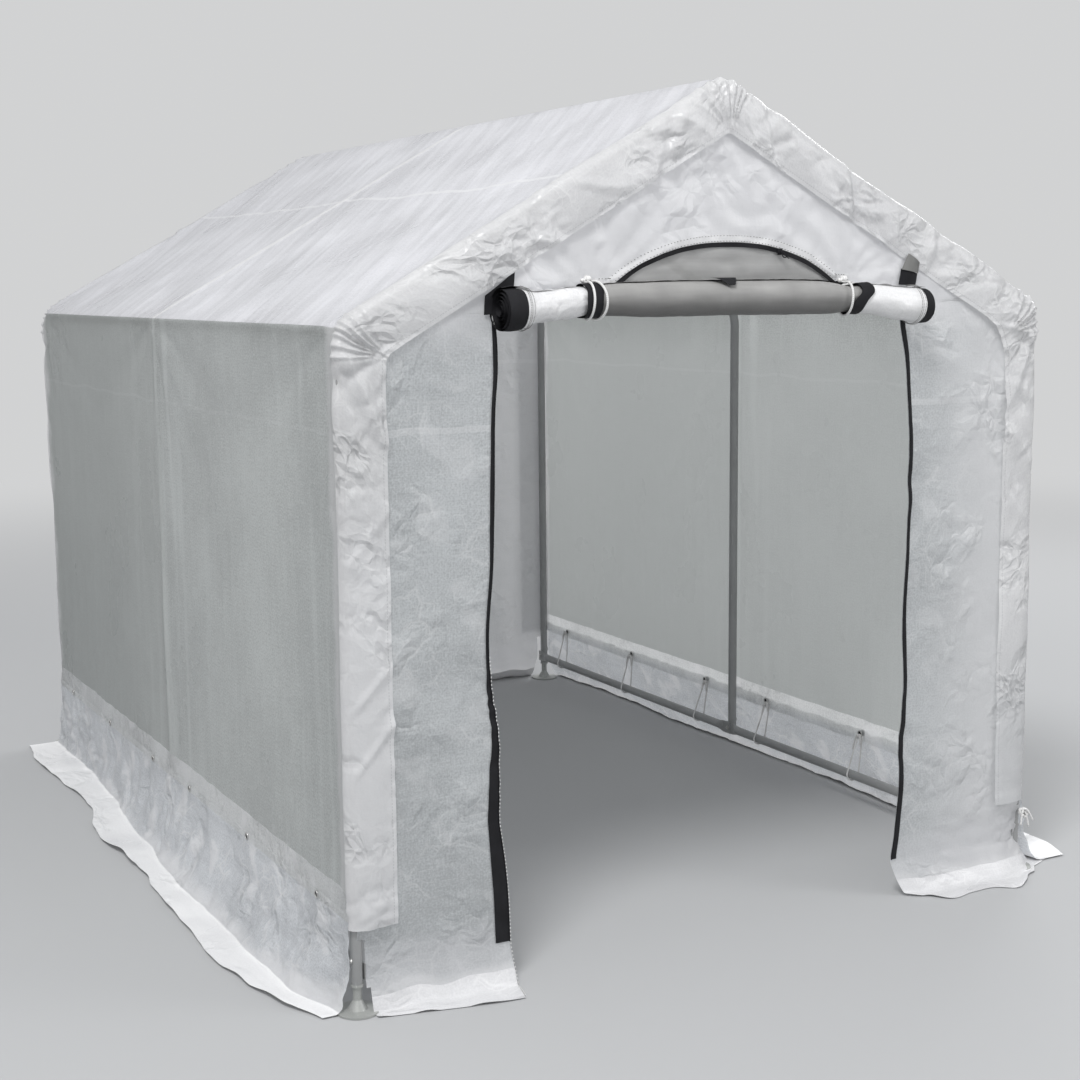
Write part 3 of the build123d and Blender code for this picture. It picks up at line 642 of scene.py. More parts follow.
def cover_relief(q, y, offset, x, z):
    """How far each point of the cover stands out from the plain section."""
    streaks, folds, crumples, cells = Lattice(11), Lattice(12), Lattice(13), Cells(14)
    side = np.where(q <= 2, 0.0, 50.0)
    p = np.where(q <= 2, q, 4 - q)
    on_wall = p < 1
    from_eave = np.where(on_wall, (1 - p) * (EAVE_Z - LIP_BOTTOM), (p - 1) * EAVE_ALONG)
    from_ridge = np.where(on_wall, 1.0, (2 - p) * EAVE_ALONG)
    off_fold = smooth(0.004, 0.05, from_eave) * smooth(0.004, 0.05, from_ridge)
    inside = RIB_HALF_LENGTH - np.abs(y)
    bay = np.abs(np.sin(pi * y / RIB_HALF_LENGTH))
    held = smooth(0.0, 0.05, inside)

    # It sinks between the ribs and stands up over them
    sunk = np.where(on_wall, 0.009 * np.sin(pi * p), 0.010 * np.sin(pi * (p - 1)))
    out = 0.0040 * np.exp(-((y / 0.013) ** 2)) * off_fold - sunk * bay**0.6
    end_rib = np.exp(-(np.maximum(inside - 0.002, 0) / 0.022) ** 2)
    out += 0.0045 * end_rib * np.where(on_wall, 0.3, 1)
    pulled = roof_pulls(streaks, folds, y, from_eave, side)
    out += np.where(on_wall, 0, pulled * off_fold * held * (0.35 + 0.65 * bay))

    slack = folds((y + side) / 0.05, z / 0.7) + 0.5 * folds((y + side) / 0.028 + 7, z / 0.5)
    foot = np.exp(-(z - LIP_BOTTOM) / 0.28)
    out += np.where(on_wall, (0.0008 + 0.0034 * foot) * slack * held, 0)
    for rib_y, way in ((0.0, 1), (0.0, -1), (-RIB_HALF_LENGTH, 1), (RIB_HALF_LENGTH, -1)):
        rays = fan(folds, (y - rib_y) * way, from_eave, 4.5, 0.75) * smooth(-0.01, 0.03, (y - rib_y) * way)
        out += np.where(on_wall, 0.0034, 0.0016) * rays
    hang = creased(folds, (y + side) / 0.45, z / 0.45, 2)
    out += np.where(on_wall, 0.0016 * hang * held * off_fold, 0)
    hem = smooth(HEM_TOP + 0.006, HEM_TOP - 0.01, z) * on_wall
    out += 0.0030 * hem * crumpled(cells, crumples, (y + side) / 0.09, z / 0.04, 2)
    return out + lip_relief(folds, crumples, cells, side, on_wall, from_eave, y, offset, x, z)


def cover_part(name, q, y, offset, kind_of, lift=0.0):
    """A part of the cover, over places q across and rows of y and offset."""
    q_grid, y_grid = np.meshgrid(q, y)
    offset_grid = np.broadcast_to(offset[:, None], q_grid.shape)
    inside = RIB_HALF_LENGTH - np.abs(y_grid)
    at_rib = 1 - smooth(0.0, 0.055, inside)
    inward = -offset_grid / LIP_WIDTH
    inner = np.where((q_grid <= 2) == (y_grid < 0), *INNER_ROUND)
    eave = np.where(inside < 0, RIB_ROUND + (inner - RIB_ROUND) * inward,
                    FOLD_ROUND + (RIB_ROUND - FOLD_ROUND) * at_rib)
    ridge = np.where(inside < 0, PEAK_ROUND + (INNER_PEAK_ROUND - PEAK_ROUND) * inward,
                     FOLD_ROUND + (PEAK_ROUND - FOLD_ROUND) * at_rib)
    x, z, normal_x, normal_z = house_line(q_grid, offset_grid, eave, ridge)
    out = cover_relief(q_grid, y_grid, offset_grid, x, z) + lift
    lean = np.clip(-inside / (LIP_FACE - RIB_HALF_LENGTH), 0, 1) * pi / 2
    radial, endwise = np.cos(lean) * out, np.sin(lean) * np.maximum(out, -0.0015)
    points = together(x + normal_x * radial, y_grid + np.sign(y_grid) * endwise, z + normal_z * radial)
    middle_row = len(y) // 2
    along = running(np.hypot(np.diff(x[middle_row]), np.diff(z[middle_row])))
    along -= along[len(q) // 2]
    length = running(np.hypot(np.diff(y), np.diff(offset)))
    hem = length if offset[0] < 0 else y
    cloth = together(along[None, :], (length + 0.3 * y[0])[:, None], hem[:, None])
    faces = grid_faces(len(y), len(q))
    row, column = np.divmod(faces[:, 0], len(q))
    kind = kind_of(q[column], z[row, column])
    if y[0] < y[-1]:
        faces = faces[:, ::-1]
    piece = new_mesh(name, points, faces, cloth, kind)
    return piece


def make_cover():
    """The film over walls and roof, and the lips that wrap round its ends."""
    def kind_of(q, z):
        return np.where(z < HEM_TOP, 2, np.where((q < 1) | (q >= 3), 1, 0))

    y = np.linspace(-RIB_HALF_LENGTH, RIB_HALF_LENGTH, MAIN_ROWS + 1)
    piece = cover_part("cover", section_places(), y, np.zeros(len(y)), kind_of)
    finished(piece, [roof_film, wall_film, band_film], [
        "roof_strip", "left_eave_strip", "right_eave_strip", "left_wall", "right_wall"])
    y, offset = lip_rows()
    for name, way in (("front_lip", -1), ("back_lip", 1)):
        piece = cover_part(name, section_places(LIP_FINENESS), way * y, offset, lambda q, z: 0 * q, LIP_LIFT)
        finished(piece, [lip_film], [name + "_left", name + "_right"])


# Flat sheets: cut out in the plane, then hung

ROOF_CUT = RIDGE_Z - 0.020  # where the end sheets stop under the ridge


def cut_sheet(xs, zs, keep):
    """A grid of faces over xs by zs where keep is true, trimmed under the roof lines."""
    centre_x, centre_z = (xs[1:] + xs[:-1]) / 2, (zs[1:] + zs[:-1]) / 2
    faces = grid_faces(len(zs), len(xs))
    faces = faces[keep(*np.meshgrid(centre_x, centre_z)).ravel()]
    used, renumbered = np.unique(faces, return_inverse=True)
    x, z = (places.ravel()[used] for places in np.meshgrid(xs, zs))
    mesh = bpy.data.meshes.new("work")
    mesh.from_pydata(together(x, 0, z).tolist(), [], renumbered.reshape(-1, 4).tolist())
    work = bmesh.new()
    work.from_mesh(mesh)
    for side in (-1, 1):
        parts = list(work.verts) + list(work.edges) + list(work.faces)
        bmesh.ops.bisect_plane(
            work, geom=parts, dist=1e-6, plane_co=(0, 0, ROOF_CUT),
            plane_no=(side * sin(PITCH), 0, cos(PITCH)), clear_outer=True)
    work.verts.index_update()
    flat = np.array([v.co[:] for v in work.verts])
    shapes = [[v.index for v in f.verts] for f in work.faces]
    work.free()
    bpy.data.meshes.remove(mesh)
    return flat[:, 0], flat[:, 2], shapes


def spaced(low, high, step):
    """Places from low to high, a step or so apart."""
    return np.linspace(low, high, max(2, int(round((high - low) / step)) + 1))


def stepped(stops, step):
    """Places from the first stop to the last, a step or so apart, with one at each stop."""
    spans = [spaced(a, b, step)[:-1] for a, b in zip(stops, stops[1:])]
    return np.concatenate([*spans, stops[-1:]])


END_EDGE = COVER_OUT - 0.012  # of the end sheets, inside the cover
LEG_EDGE = RIB_HALF_WIDTH - 0.022  # where they are cut away beside the legs
LEG_TOP = LIP_BOTTOM - 0.02  # and up to where
END_FOOT = 0.09  # where the end sheets start to spread out on to the ground
END_SLOPE = 0.099
END_FLAT = 0.066
END_HEM = END_FOOT - END_SLOPE - END_FLAT
END_OUT = 0.042
COLUMN_STEP, ROW_STEP = 0.009, 0.0095
ON_GROUND = 0.030  # below this length coordinate an end sheet lies in the light on the ground
GROUND = 0.0015
WRAP_START = 0.893  # where the front sheet's foot starts to go round the right leg
WRAP_RADIUS = 0.032
WRAP_END = 1.10

# How far the doorway's loose edges stray to the right, by height
LEFT_STRAY = [
    (-0.09, 0.002), (-0.044, 0.012), (0.02, 0.022), (0.084, 0.022), (0.258, 0.014), (0.358, 0.0),
    (0.547, 0.001), (0.643, -0.009), (0.753, -0.017), (0.921, -0.007), (1.131, -0.003),
    (1.227, 0.002), (1.31, 0.010), (1.44, 0.004), (1.6, 0.0)]
RIGHT_STRAY = [
    (-0.09, 0.060), (-0.04, 0.030), (0.03, 0.000), (0.09, -0.013), (0.14, -0.006), (0.195, -0.001),
    (0.26, 0.004), (0.385, -0.002), (0.51, 0.005), (0.635, 0.0), (1.07, -0.001), (1.15, -0.003),
    (1.23, -0.006), (1.30, -0.009), (1.376, -0.022), (1.44, -0.024), (1.6, 0.0)]
# How far the front sheet's foot reaches out on the ground, by place on the flat sheet
FRONT_REACH = [
    (-0.95, 0.030), (-0.885, 0.038), (-0.75, 0.066), (-0.60, 0.096), (-0.50, 0.098), (0.50, 0.040),
    (0.54, 0.050), (0.575, 0.080), (0.68, 0.078), (0.755, 0.082), (0.793, 0.106), (0.85, 0.082),
    (0.899, 0.047), (0.930, 0.052), (0.939, 0.090), (0.953, 0.132), (1.0, 0.134), (1.12, 0.138)]
# Crushed spots on the front: place across, height and reach
CRUSHED = [(-0.615, 0.60, 0.075), (-0.72, 0.30, 0.06), (0.70, 0.35, 0.07)]


def spread_out(folds, x, v):
    """Distance out and height of an end sheet's foot, at its places x and v on the flat sheet."""
    ripple = 0.006 * folds(x / 0.06, v / 0.2) + 0.006 * np.abs(folds(x / 0.11 + 5, v / 0.09))
    slope = np.clip((END_FOOT - v) / END_SLOPE, 0, 1)
    flat = np.maximum(END_FOOT - END_SLOPE - v, 0)
    out = END_OUT * slope**1.6 + flat
    height = np.where(v > END_FOOT, v, END_FOOT * (1 - slope) ** 1.15)
    return out, np.maximum(height + ripple * smooth(0, 0.03, slope * END_SLOPE + flat), GROUND)


def under_lip(x, v):
    """1 where the lip lies over an end sheet, 0 away from it."""
    roof = (RIDGE_Z - np.abs(x) * tan(PITCH) - v) * cos(PITCH)
    inward = np.minimum(roof, COVER_OUT - np.abs(x))
    covered = smooth(LIP_WIDTH + 0.022, LIP_WIDTH - 0.004, inward)
    return covered * smooth(LIP_BOTTOM - 0.04, LIP_BOTTOM, v)


def hang_front(x, v):
    """Places of the front sheet's points, from their places on the flat sheet."""
    folds, crumples, cells = Lattice(21), Lattice(22), Cells(23)
    near_left, near_right = (np.exp(-(np.abs(x - edge) / 0.09)) for edge in (DOOR_LEFT, DOOR_RIGHT))
    free = smooth(1.43, 1.25, v)
    moved = x + near_left * curve(LEFT_STRAY, v) + near_right * curve(RIGHT_STRAY, v)
    out, height = spread_out(folds, x, v)
    out = out * curve(FRONT_REACH, x) / (END_OUT + END_FLAT)
    slack = smooth(0.1, 0.7, folds(x / 0.17, v / 0.21 + 3))
    relief = 0.0085 * crumpled(cells, crumples, x / 0.17, v / 0.16, 3) * (0.12 + 0.88 * slack)
    head = crumpled(cells, crumples, x / 0.14 + 7, v / 0.12, 2)
    relief += 0.0060 * head * smooth(1.38, 1.50, v)
    relief += (0.0022 * folds(x / 0.05, v / 0.6) + 0.009 * folds(x / 0.3 + 8, v / 0.8)) * free
    for middle_x, middle_v, reach in CRUSHED:
        bearing, distance = polar(v - middle_v, x - middle_x)
        relief += 0.006 * pleats(folds, bearing, distance + 0.01, -60, 150, 43, reach)
    from_peak = pleats(folds, *polar(x, INNER_TOP - v), -60, 60, 23, 0.5)
    relief += 0.0025 * from_peak * smooth(1.5, 1.6, v)
    for end in (-0.33, 0.33):
        pull = pleats(folds, *polar(x - end, v - 1.475), -95, 95, 27, 0.30)
        relief += 0.0035 * pull * smooth(1.44, 1.49, v)
    lift = 0.010 * (near_left + near_right) * folds(v / 0.22, 3.0) * free
    relief = (relief + lift) * smooth(0.0, 0.1, v) * (1 - under_lip(x, v))
    # The foot by the right leg comes out flush with the lip above it and is gathered there
    at_leg = smooth(0.78, 0.815, x) * smooth(LIP_BOTTOM + 0.002, LIP_BOTTOM - 0.006, v)
    gathered = pleats(folds, *polar(0.145 - v, x - 0.905), -180, 180, 24, 0.12)
    gathered = 0.0006 + 0.006 * gathered * smooth(0.02, 0.06, v)
    out = out + relief + at_leg * (LIP_FACE - PANEL_FACE + gathered)
    turn = np.clip((x - WRAP_START) / WRAP_RADIUS, 0, pi / 2)
    past = np.maximum(x - WRAP_START - WRAP_RADIUS * pi / 2, 0)
    wrapped_x = WRAP_START + (out + WRAP_RADIUS) * np.sin(turn)
    wrapped_y = -PANEL_FACE + WRAP_RADIUS - (out + WRAP_RADIUS) * np.cos(turn) + past
    round_leg = x > WRAP_START
    return together(np.where(round_leg, wrapped_x, moved),
                    np.where(round_leg, wrapped_y, -PANEL_FACE - out), height)


def hung_end(name, points, faces, cloth, replaced):
    """An end sheet under its lip. Its foot lies in the light on the ground, in ground film painted darker as
    painted shade.
    """
    height = np.array([cloth[face, 1].mean() for face in faces])
    piece = new_mesh(name, points, faces, cloth, np.where(height < ON_GROUND, 1, 0))
    finished(piece, [panel_film, ground_film_painted_darker], replaced)


# The gable's vent: its zip runs nearly level at both ends and rises between them
VENT_HALF, VENT_TAIL, VENT_POWER = 0.292, 0.335, 2.3


def vent_top(x):
    """Height of the vent zip's lower edge."""
    across = np.clip(np.abs(x - VENT_MIDDLE) / VENT_HALF, 0, 1)
    rise = 1 - across**VENT_POWER
    return VENT_FOOT + VENT_RISE * rise - 0.004 * smooth(0.2, VENT_TAIL, np.abs(x - VENT_MIDDLE))


def make_front():
    """The front with its gable, cut out for the doorway, the vent and the legs."""
    def keep(x, z):
        doorway = (x > DOOR_LEFT) & (x < DOOR_RIGHT) & (z < ROLL_Z)
        vent = (z > VENT_FOOT) & (z < vent_top(x)) & (np.abs(x - VENT_MIDDLE) < VENT_HALF)
        left_corner = (x < -LEG_EDGE - 0.012 * smooth(0.03, 0.08, z)) & (z < LEG_TOP)
        right_corner = (x > RIB_HALF_WIDTH - 0.006) & (z > LIP_BOTTOM - 0.012)
        beyond = (x > RIB_HALF_WIDTH + 0.02) & (z > LEG_TOP)
        return ~(doorway | vent | left_corner | right_corner | beyond)

    columns = stepped([-END_EDGE, DOOR_LEFT, DOOR_RIGHT, WRAP_END], COLUMN_STEP)
    rows = stepped([END_HEM, END_FOOT, VENT_FOOT, RIDGE_Z], ROW_STEP)
    x, v, faces = cut_sheet(columns, rows, keep)
    # The points beside the vent move on to its line
    top = vent_top(x)
    on_arc = (np.abs(v - top) < 0.010) & (v > VENT_FOOT + 0.001)
    v = np.where(on_arc & (np.abs(x - VENT_MIDDLE) < VENT_HALF), top + 0.002, v)
    door_edge = np.minimum(np.abs(x - DOOR_LEFT), np.abs(x - DOOR_RIGHT))
    hem = np.where(v < ROLL_Z, np.minimum(v - END_HEM, door_edge), 1)
    hung_end("front_sheet", hang_front(x, v), faces, together(x, v, hem), [
        "front_left_panel", "front_right_panel", "front_gable_panel", "front_left_skirt",
        "front_right_skirt"])


def hang_back(x, v):
    """Places of the back sheet's points, from their places on the flat sheet."""
    folds, crumples, cells = Lattice(31), Lattice(32), Cells(33)
    out, height = spread_out(folds, x, v)
    out = out * (1 + 0.3 * folds(x / 0.12 + 3, 0.5))
    relief = 0.0055 * crumpled(cells, crumples, x / 0.18, v / 0.12, 3)
    relief += 0.004 * folds(x / 0.05, v / 0.6) * smooth(1.2, 0.4, v)
    relief -= 0.010 * np.sin(pi * np.clip(v / 1.5, 0, 1)) * np.cos(x / COVER_OUT * pi / 2)
    relief += 0.006 * folds(x / 0.35 + 8, v / 0.8)
    from_peak = pleats(folds, *polar(x, INNER_TOP - v), -60, 60, 17, 0.5)
    relief += 0.004 * from_peak * smooth(1.4, 1.6, v)
    return together(x, BACK_FACE + out + relief * smooth(0.0, 0.1, v) * (1 - under_lip(x, v)), height)


def make_back():
    """The closed back, cut away beside the legs."""
    def keep(x, z):
        return (np.abs(x) <= LEG_EDGE) | (z >= LEG_TOP)

    columns = stepped([-END_EDGE, END_EDGE], COLUMN_STEP)
    x, v, faces = cut_sheet(columns, stepped([END_HEM, END_FOOT, RIDGE_Z], ROW_STEP), keep)
    faces = [face[::-1] for face in faces]
    hung_end("back_sheet", hang_back(x, v), faces, together(x, v, v - END_HEM),
             ["back_panel", "back_skirt"])


# The ground skirts along the sides

# Where the slope meets the ground and where the band on the ground ends: (y, |x|)
LEFT_FOOT = [
    (-1.25, 0.936), (-1.18, 0.950), (-1.108, 0.980), (-0.9, 0.997), (-0.61, 1.004), (-0.28, 1.006),
    (0.113, 0.982), (0.593, 0.945), (1.25, 0.945)]
LEFT_REACH = [
    (-1.25, 0.976), (-1.2, 0.985), (-1.11, 1.026), (-0.91, 1.069), (-0.54, 1.075), (-0.09, 1.060),
    (0.16, 1.077), (0.25, 1.072), (0.40, 1.040), (0.53, 1.026), (0.755, 1.046), (1.0, 1.055),
    (1.25, 1.034)]
RIGHT_FOOT = [
    (-1.25, 0.985), (-0.8, 0.972), (-0.2, 0.990), (0.4, 0.965), (0.9, 0.985), (1.25, 0.960)]
RIGHT_REACH = [
    (-1.25, 1.060), (-1.14, 1.090), (-1.06, 1.092), (-0.9, 1.050), (-0.4, 1.068), (0.0, 1.048),
    (0.5, 1.075), (0.9, 1.050), (1.25, 1.058)]
SKIRT_TOP = HEM_TOP - 0.036
SKIRT_END = RIB_HALF_LENGTH + 0.006
SLOPE_SHARE = 0.70  # of the skirt's rows, from the wall to the ground
WELD_SHARE = 0.055  # of them, doubled along the wall
SKIRT_COLUMNS, SKIRT_ROWS = 44, 300


def blurred(values, width):
    """Values averaged along their last axis over an odd number of places, ends kept."""
    pad = [(0, 0)] * (values.ndim - 1) + [(width // 2, width // 2)]
    padded = np.pad(values, pad, mode="edge")
    summed = np.cumsum(np.concatenate([np.zeros_like(padded[..., :1]), padded], -1), -1)
    return (summed[..., width:] - summed[..., :-width]) / width


def make_skirt(name, side, foot_stops, reach_stops, seed, ground_material):
    """A loose strip welded to the wall, that slopes out and lies on the ground with its hem."""
    folds, crumples, cells = Lattice(seed), Lattice(seed + 1), Cells(seed + 2)
    y = np.linspace(-SKIRT_END, SKIRT_END, SKIRT_ROWS)[:, None]
    w = np.linspace(0, 1, SKIRT_COLUMNS)[None, :]
    foot = curve(foot_stops, y) - COVER_OUT + 0.006 * folds(y / 0.16, 5.0)
    reach = curve(reach_stops, y) - COVER_OUT + 0.005 * folds(y / 0.07, 0.0)
    reach = np.maximum(reach, foot + 0.004)
    t = np.clip(w / SLOPE_SHARE, 0, 1)
    ground = np.clip((w - SLOPE_SHARE) / (1 - SLOPE_SHARE), 0, 1)
    out = 0.0035 + (foot - 0.0035) * t**1.9 + (reach - foot) * ground
    height = 0.004 + (SKIRT_TOP - 0.004) * (1 - t) ** 1.12
    height = blurred(np.broadcast_to(height, out.shape), 5)
    loose = smooth(0.04, 0.35, w)
    on_ground = smooth(SLOPE_SHARE - 0.05, SLOPE_SHARE + 0.05, w)
    relief = 0.017 * crumpled(cells, crumples, y / 0.24, w / 0.42, 3) * loose
    relief += 0.004 * folds(y / 0.035, w * 2.5) * loose * (1 - on_ground)
    relief += 0.0025 * crumpled(cells, crumples, y / 0.05, w / 0.1, 2) * (1 - loose)
    lift = 0.006 * np.abs(folds(y / 0.10 + 3, w * 2.0))
    lift = lift + 0.010 * np.maximum(0, folds(y / 0.22 + 9, w * 1.3)) + np.maximum(relief, 0) * 0.4
    out = np.maximum(out + relief * (1 - on_ground), 0.0022)
    from_end = smooth(0.0, 0.09, SKIRT_END - np.abs(y))
    height += lift * on_ground * (0.3 + 0.7 * ground) * from_end
    height = np.maximum(height + 0.35 * relief * t * (1 - on_ground), GROUND)
    across = running(np.hypot(np.diff(out), np.diff(height)))
    faces = grid_faces(SKIRT_ROWS, SKIRT_COLUMNS)
    place = w[0, faces.min(1) % SKIRT_COLUMNS]
    if side > 0:
        faces = faces[:, ::-1]
    kind = np.where(place < WELD_SHARE, 1, np.where(place > SLOPE_SHARE - 0.01, 2, 0))
    points = together(side * (COVER_OUT + out), y, height)
    piece = new_mesh(name, points, faces, together(y, across, across[:, -1:] - across), kind)
    finished(piece, [skirt_film, band_film, ground_material],
             [name.replace("_sheet", "")])


# Zips

def on_front(piece, flat, **cut):
    """Returns the piece unchanged."""
    return piece


def before_front(xs, vs, stand_off):
    """Points a little in front of the front sheet, that follow its folds."""
    points = hang_front(xs, vs)
    points[..., 1] -= stand_off
    return points


def tape(name, xs, vs, stand_off, flat, material, replaced=()):
    """A flat tape on the front sheet, over grids xs and vs of places on the sheet."""
    points = before_front(xs, vs, stand_off)
    piece = new_mesh(name, points, grid_faces(*xs.shape), together(vs, xs, 1.0))
    return finished(on_front(piece, flat), [material], replaced)


def make_door_zip(name, edge, way, top_width, foot_width):
    """A zip tape along the doorway's edge, turned in at the top and flat at the foot."""
    across, vs = np.meshgrid(np.linspace(-0.002, 1, 8), spaced(ZIP_LOW, ZIP_HIGH, 0.009))
    width = top_width + (foot_width - top_width) * smooth(0.75, 0.22, vs)
    width = width * (1 + 0.14 * Lattice(17)(vs / 0.09, 2.0))
    flat = (float(width.mean()), ZIP_HIGH - ZIP_LOW)
    tape(name + "_tape", edge + way * across * width, vs, 0.0022, flat, black_tape, [name])


def coil(name, points, size, material):
    """Small rounded teeth at each of the points."""
    shape = bmesh.new()
    bmesh.ops.create_icosphere(shape, subdivisions=1, radius=1.0)
    unit = np.array([v.co[:] for v in shape.verts])
    corners = np.array([[v.index for v in f.verts] for f in shape.faces])
    shape.free()
    every = points[:, None, :] + unit[None] * np.array(size)
    faces = corners[None] + np.arange(len(points))[:, None, None] * len(unit)
    return finished(new_mesh(name, every, faces.reshape(-1, 3), every), [material])


def make_zip_coils():
    """The zips' teeth, and the white stitches on the left one."""
    v = np.arange(-0.06, 0.72, 0.0085)
    points = before_front(np.full(len(v), DOOR_LEFT + 0.0005), v, 0.0032)
    points[:, 2] = np.maximum(points[:, 2], 0.004)
    coil("left_stitches", points, (0.0013, 0.0010, 0.0026), white_cord)
    v = np.arange(ZIP_LOW, ZIP_HIGH - 0.01, 0.0034)
    for name, x in (("left_coil", DOOR_LEFT - 0.0015), ("right_coil", DOOR_RIGHT + 0.0015)):
        points = before_front(np.full(len(v), x), v, 0.0030)
        coil(name, points, (0.0018, 0.0011, 0.0012), black_tape)


def slider(centre, turn):
    """A zip's slider and its pull, on the front sheet, with the pull turned to an angle."""
    hinge = centre + np.array([0, -0.0055, 0])
    along = np.array([sin(turn), 0, -cos(turn)])
    return [
        block((0.011, 0.005, 0.014), centre),
        block((0.003, 0.004, 0.010), centre + np.array([0, -0.004, 0])),
        ring(hinge + along * 0.011, 0.0065, 0.0011, (0, 1, 0)),
        round_tube([hinge, hinge + along * 0.006, hinge + along * 0.024], 0.0012, 6)]


def block(size, centre):
    """A small block with bevelled front edges."""
    x, y, z = (v / 2 for v in size)
    bevel = min(x, z) * 0.3
    rings = [(x - bevel, -y, z - bevel), (x, -y + bevel, z), (x, y, z)]
    corners = [(-1, -1), (1, -1), (1, 1), (-1, 1)]
    points = [(a * i, b, c * k) for a, b, c in rings for i, k in corners] + np.array(centre)
    faces = [[0, 1, 2, 3], [11, 10, 9, 8]]
    for level in (0, 4):
        for n in range(4):
            low, high = level + n, level + (n + 1) % 4
            faces.append([low, low + 4, high + 4, high])
    return points, faces, points


def patch(name, corners, stand_off, material):
    """A flat scrap of tape on the front sheet: four corners (x, z), clockwise from low left."""
    low_left, high_left, high_right, low_right = (np.array(c) for c in corners)
    a, b = np.linspace(0, 1, 12)[:, None, None], np.linspace(0, 1, 16)[None, :, None]
    left, right = low_left * (1 - a) + high_left * a, low_right * (1 - a) + high_right * a
    xs, vs = np.moveaxis(left * (1 - b) + right * b, -1, 0)
    bow = Lattice(18)(xs / 0.03, vs / 0.03) * 0.002 + 0.004 * np.sin(pi * b[..., 0])
    points = together(xs, -PANEL_FACE - (stand_off + bow), vs)
    piece = new_mesh(name, points, grid_faces(*xs.shape), together(vs, xs, 1.0))
    corner_x, corner_z = np.array(corners).T
    area = abs(corner_x @ np.roll(corner_z, 1) - corner_z @ np.roll(corner_x, 1)) / 2
    on_front(piece, (float(np.ptp(corner_x)), float(np.ptp(corner_z))), area=float(area))
    finished(piece, [material])


def arc_grid(inner, outer, tail, columns=120, rows=6):
    """Grids of x and height over a band above the vent's zip line."""
    x = np.linspace(VENT_MIDDLE - tail, VENT_MIDDLE + tail, columns)
    across = np.linspace(inner, outer, rows)[:, None]
    lean = np.arctan(np.gradient(vent_top(x), x))
    return x[None, :] - across * np.sin(lean), vent_top(x)[None, :] + across * np.cos(lean)


VENT_TAPE, VENT_HEM = 0.0102, 0.0158  # widths


def make_vent():
    """The half-moon vent: its zip, the hem over it with two rows of stitches, and its mesh."""
    xs, vs = arc_grid(0.0, VENT_TAPE, VENT_TAIL)
    length = float(np.hypot(np.diff(xs[0]), np.diff(vs[0])).sum())
    tape("vent_tape", xs, vs, 0.0034, (length, VENT_TAPE), black_tape, ["vent_zip"])
    xs, vs = arc_grid(VENT_TAPE, VENT_TAPE + VENT_HEM, VENT_TAIL)
    tape("vent_hem", xs, vs, 0.0024, (length, VENT_HEM), header_film)
    for name, place in (("vent_stitch_inner", 0.0125), ("vent_stitch_outer", 0.0245)):
        xs, vs = arc_grid(place, place + 0.001, VENT_TAIL - 0.01, 170, 2)
        points = before_front(xs[0, ::2], vs[0, ::2], 0.0030)
        coil(name, points, (0.0022, 0.0006, 0.0007), grey_thread_and_highlight_tape)
    x = (np.linspace(-VENT_HALF, VENT_HALF, 90) + VENT_MIDDLE)[None, :]
    rise = np.linspace(0, 1, 14)[:, None]
    low, top = VENT_FOOT - 0.02, vent_top(x) + 0.006
    z = low + (top - low) * rise
    billow = np.sin(pi * rise) * np.cos((x - VENT_MIDDLE) / VENT_HALF * pi / 2)
    y = -PANEL_FACE + 0.004 - 0.004 * billow + 0.002 * creased(Lattice(41), x / 0.09, z / 0.05, 2)
    piece = new_mesh("vent_mesh", together(x, y, z), grid_faces(*z.shape), together(x, z, 1.0))
    length, height = 2 * VENT_HALF, float(top.max() - low)
    on_front(piece, (length, height), area=0.75 * length * height)
    finished(piece, [grey_screen], ["vent_screen"])


def make_door_trim():
    """What is left of the tapes above the rolled door, and the zips' sliders."""
    patch("left_tape_end", [(-0.594, 1.425), (-0.592, 1.464), (-0.522, 1.514), (-0.528, 1.43)],
          0.004, black_tape)
    patch("right_tape_end", [(0.479, 1.468), (0.483, 1.505), (0.533, 1.493), (0.527, 1.466)],
          0.005, black_tape)
    # The fold of black tape is drawn in grey tape: a painted highlight along its folded edge
    patch("right_tape_fold_highlight", [(0.483, 1.503), (0.503, 1.539), (0.536, 1.518), (0.533, 1.493)],
          0.008, grey_thread_and_highlight_tape)
    left = before_front(np.array([DOOR_LEFT - 0.004]), np.array([1.418]), 0.006)
    assembled("door_slider", slider(left[0], 0.25), bolt_zinc)
    xs, vs = arc_grid(0.004, 0.005, VENT_TAIL)
    vent = before_front(xs[:1, 84], vs[:1, 84], 0.007)
    assembled("vent_slider", slider(vent[0], 0.9), black_tape)


# The rolled door, its straps and cords

ROLL_TURNS = 10
ROLL_CORE = 0.009
ROLL_SIDES = 30
ROLL_END = ROLL_HIGH.x - 0.014
# The roll's radius and the rise of its axis along its length: it is thin under the straps,
# full in the middle, and both its ends droop
ROLL_RADII = [
    (-0.60, 0.0450), (-0.535, 0.0440), (-0.515, 0.0375), (-0.42, 0.0350), (-0.372, 0.0315),
    (-0.335, 0.0345), (-0.24, 0.0380), (0.0, 0.0390), (0.16, 0.0395), (0.25, 0.0370),
    (0.300, 0.0300), (0.345, 0.0330), (0.40, 0.0375), (0.47, 0.0410), (0.495, 0.0430),
    (0.54, 0.0430)]
ROLL_RISES = [
    (-0.60, 0.000), (-0.50, 0.003), (-0.372, 0.0145), (-0.2, 0.0145), (0.1, 0.0120),
    (0.25, 0.0080), (0.305, 0.0050), (0.367, 0.003), (0.44, -0.007), (0.486, -0.012), (0.54, -0.015)]


def roll_radius(x):
    """The rolled door's radius at places along it."""
    return curve(ROLL_RADII, x)


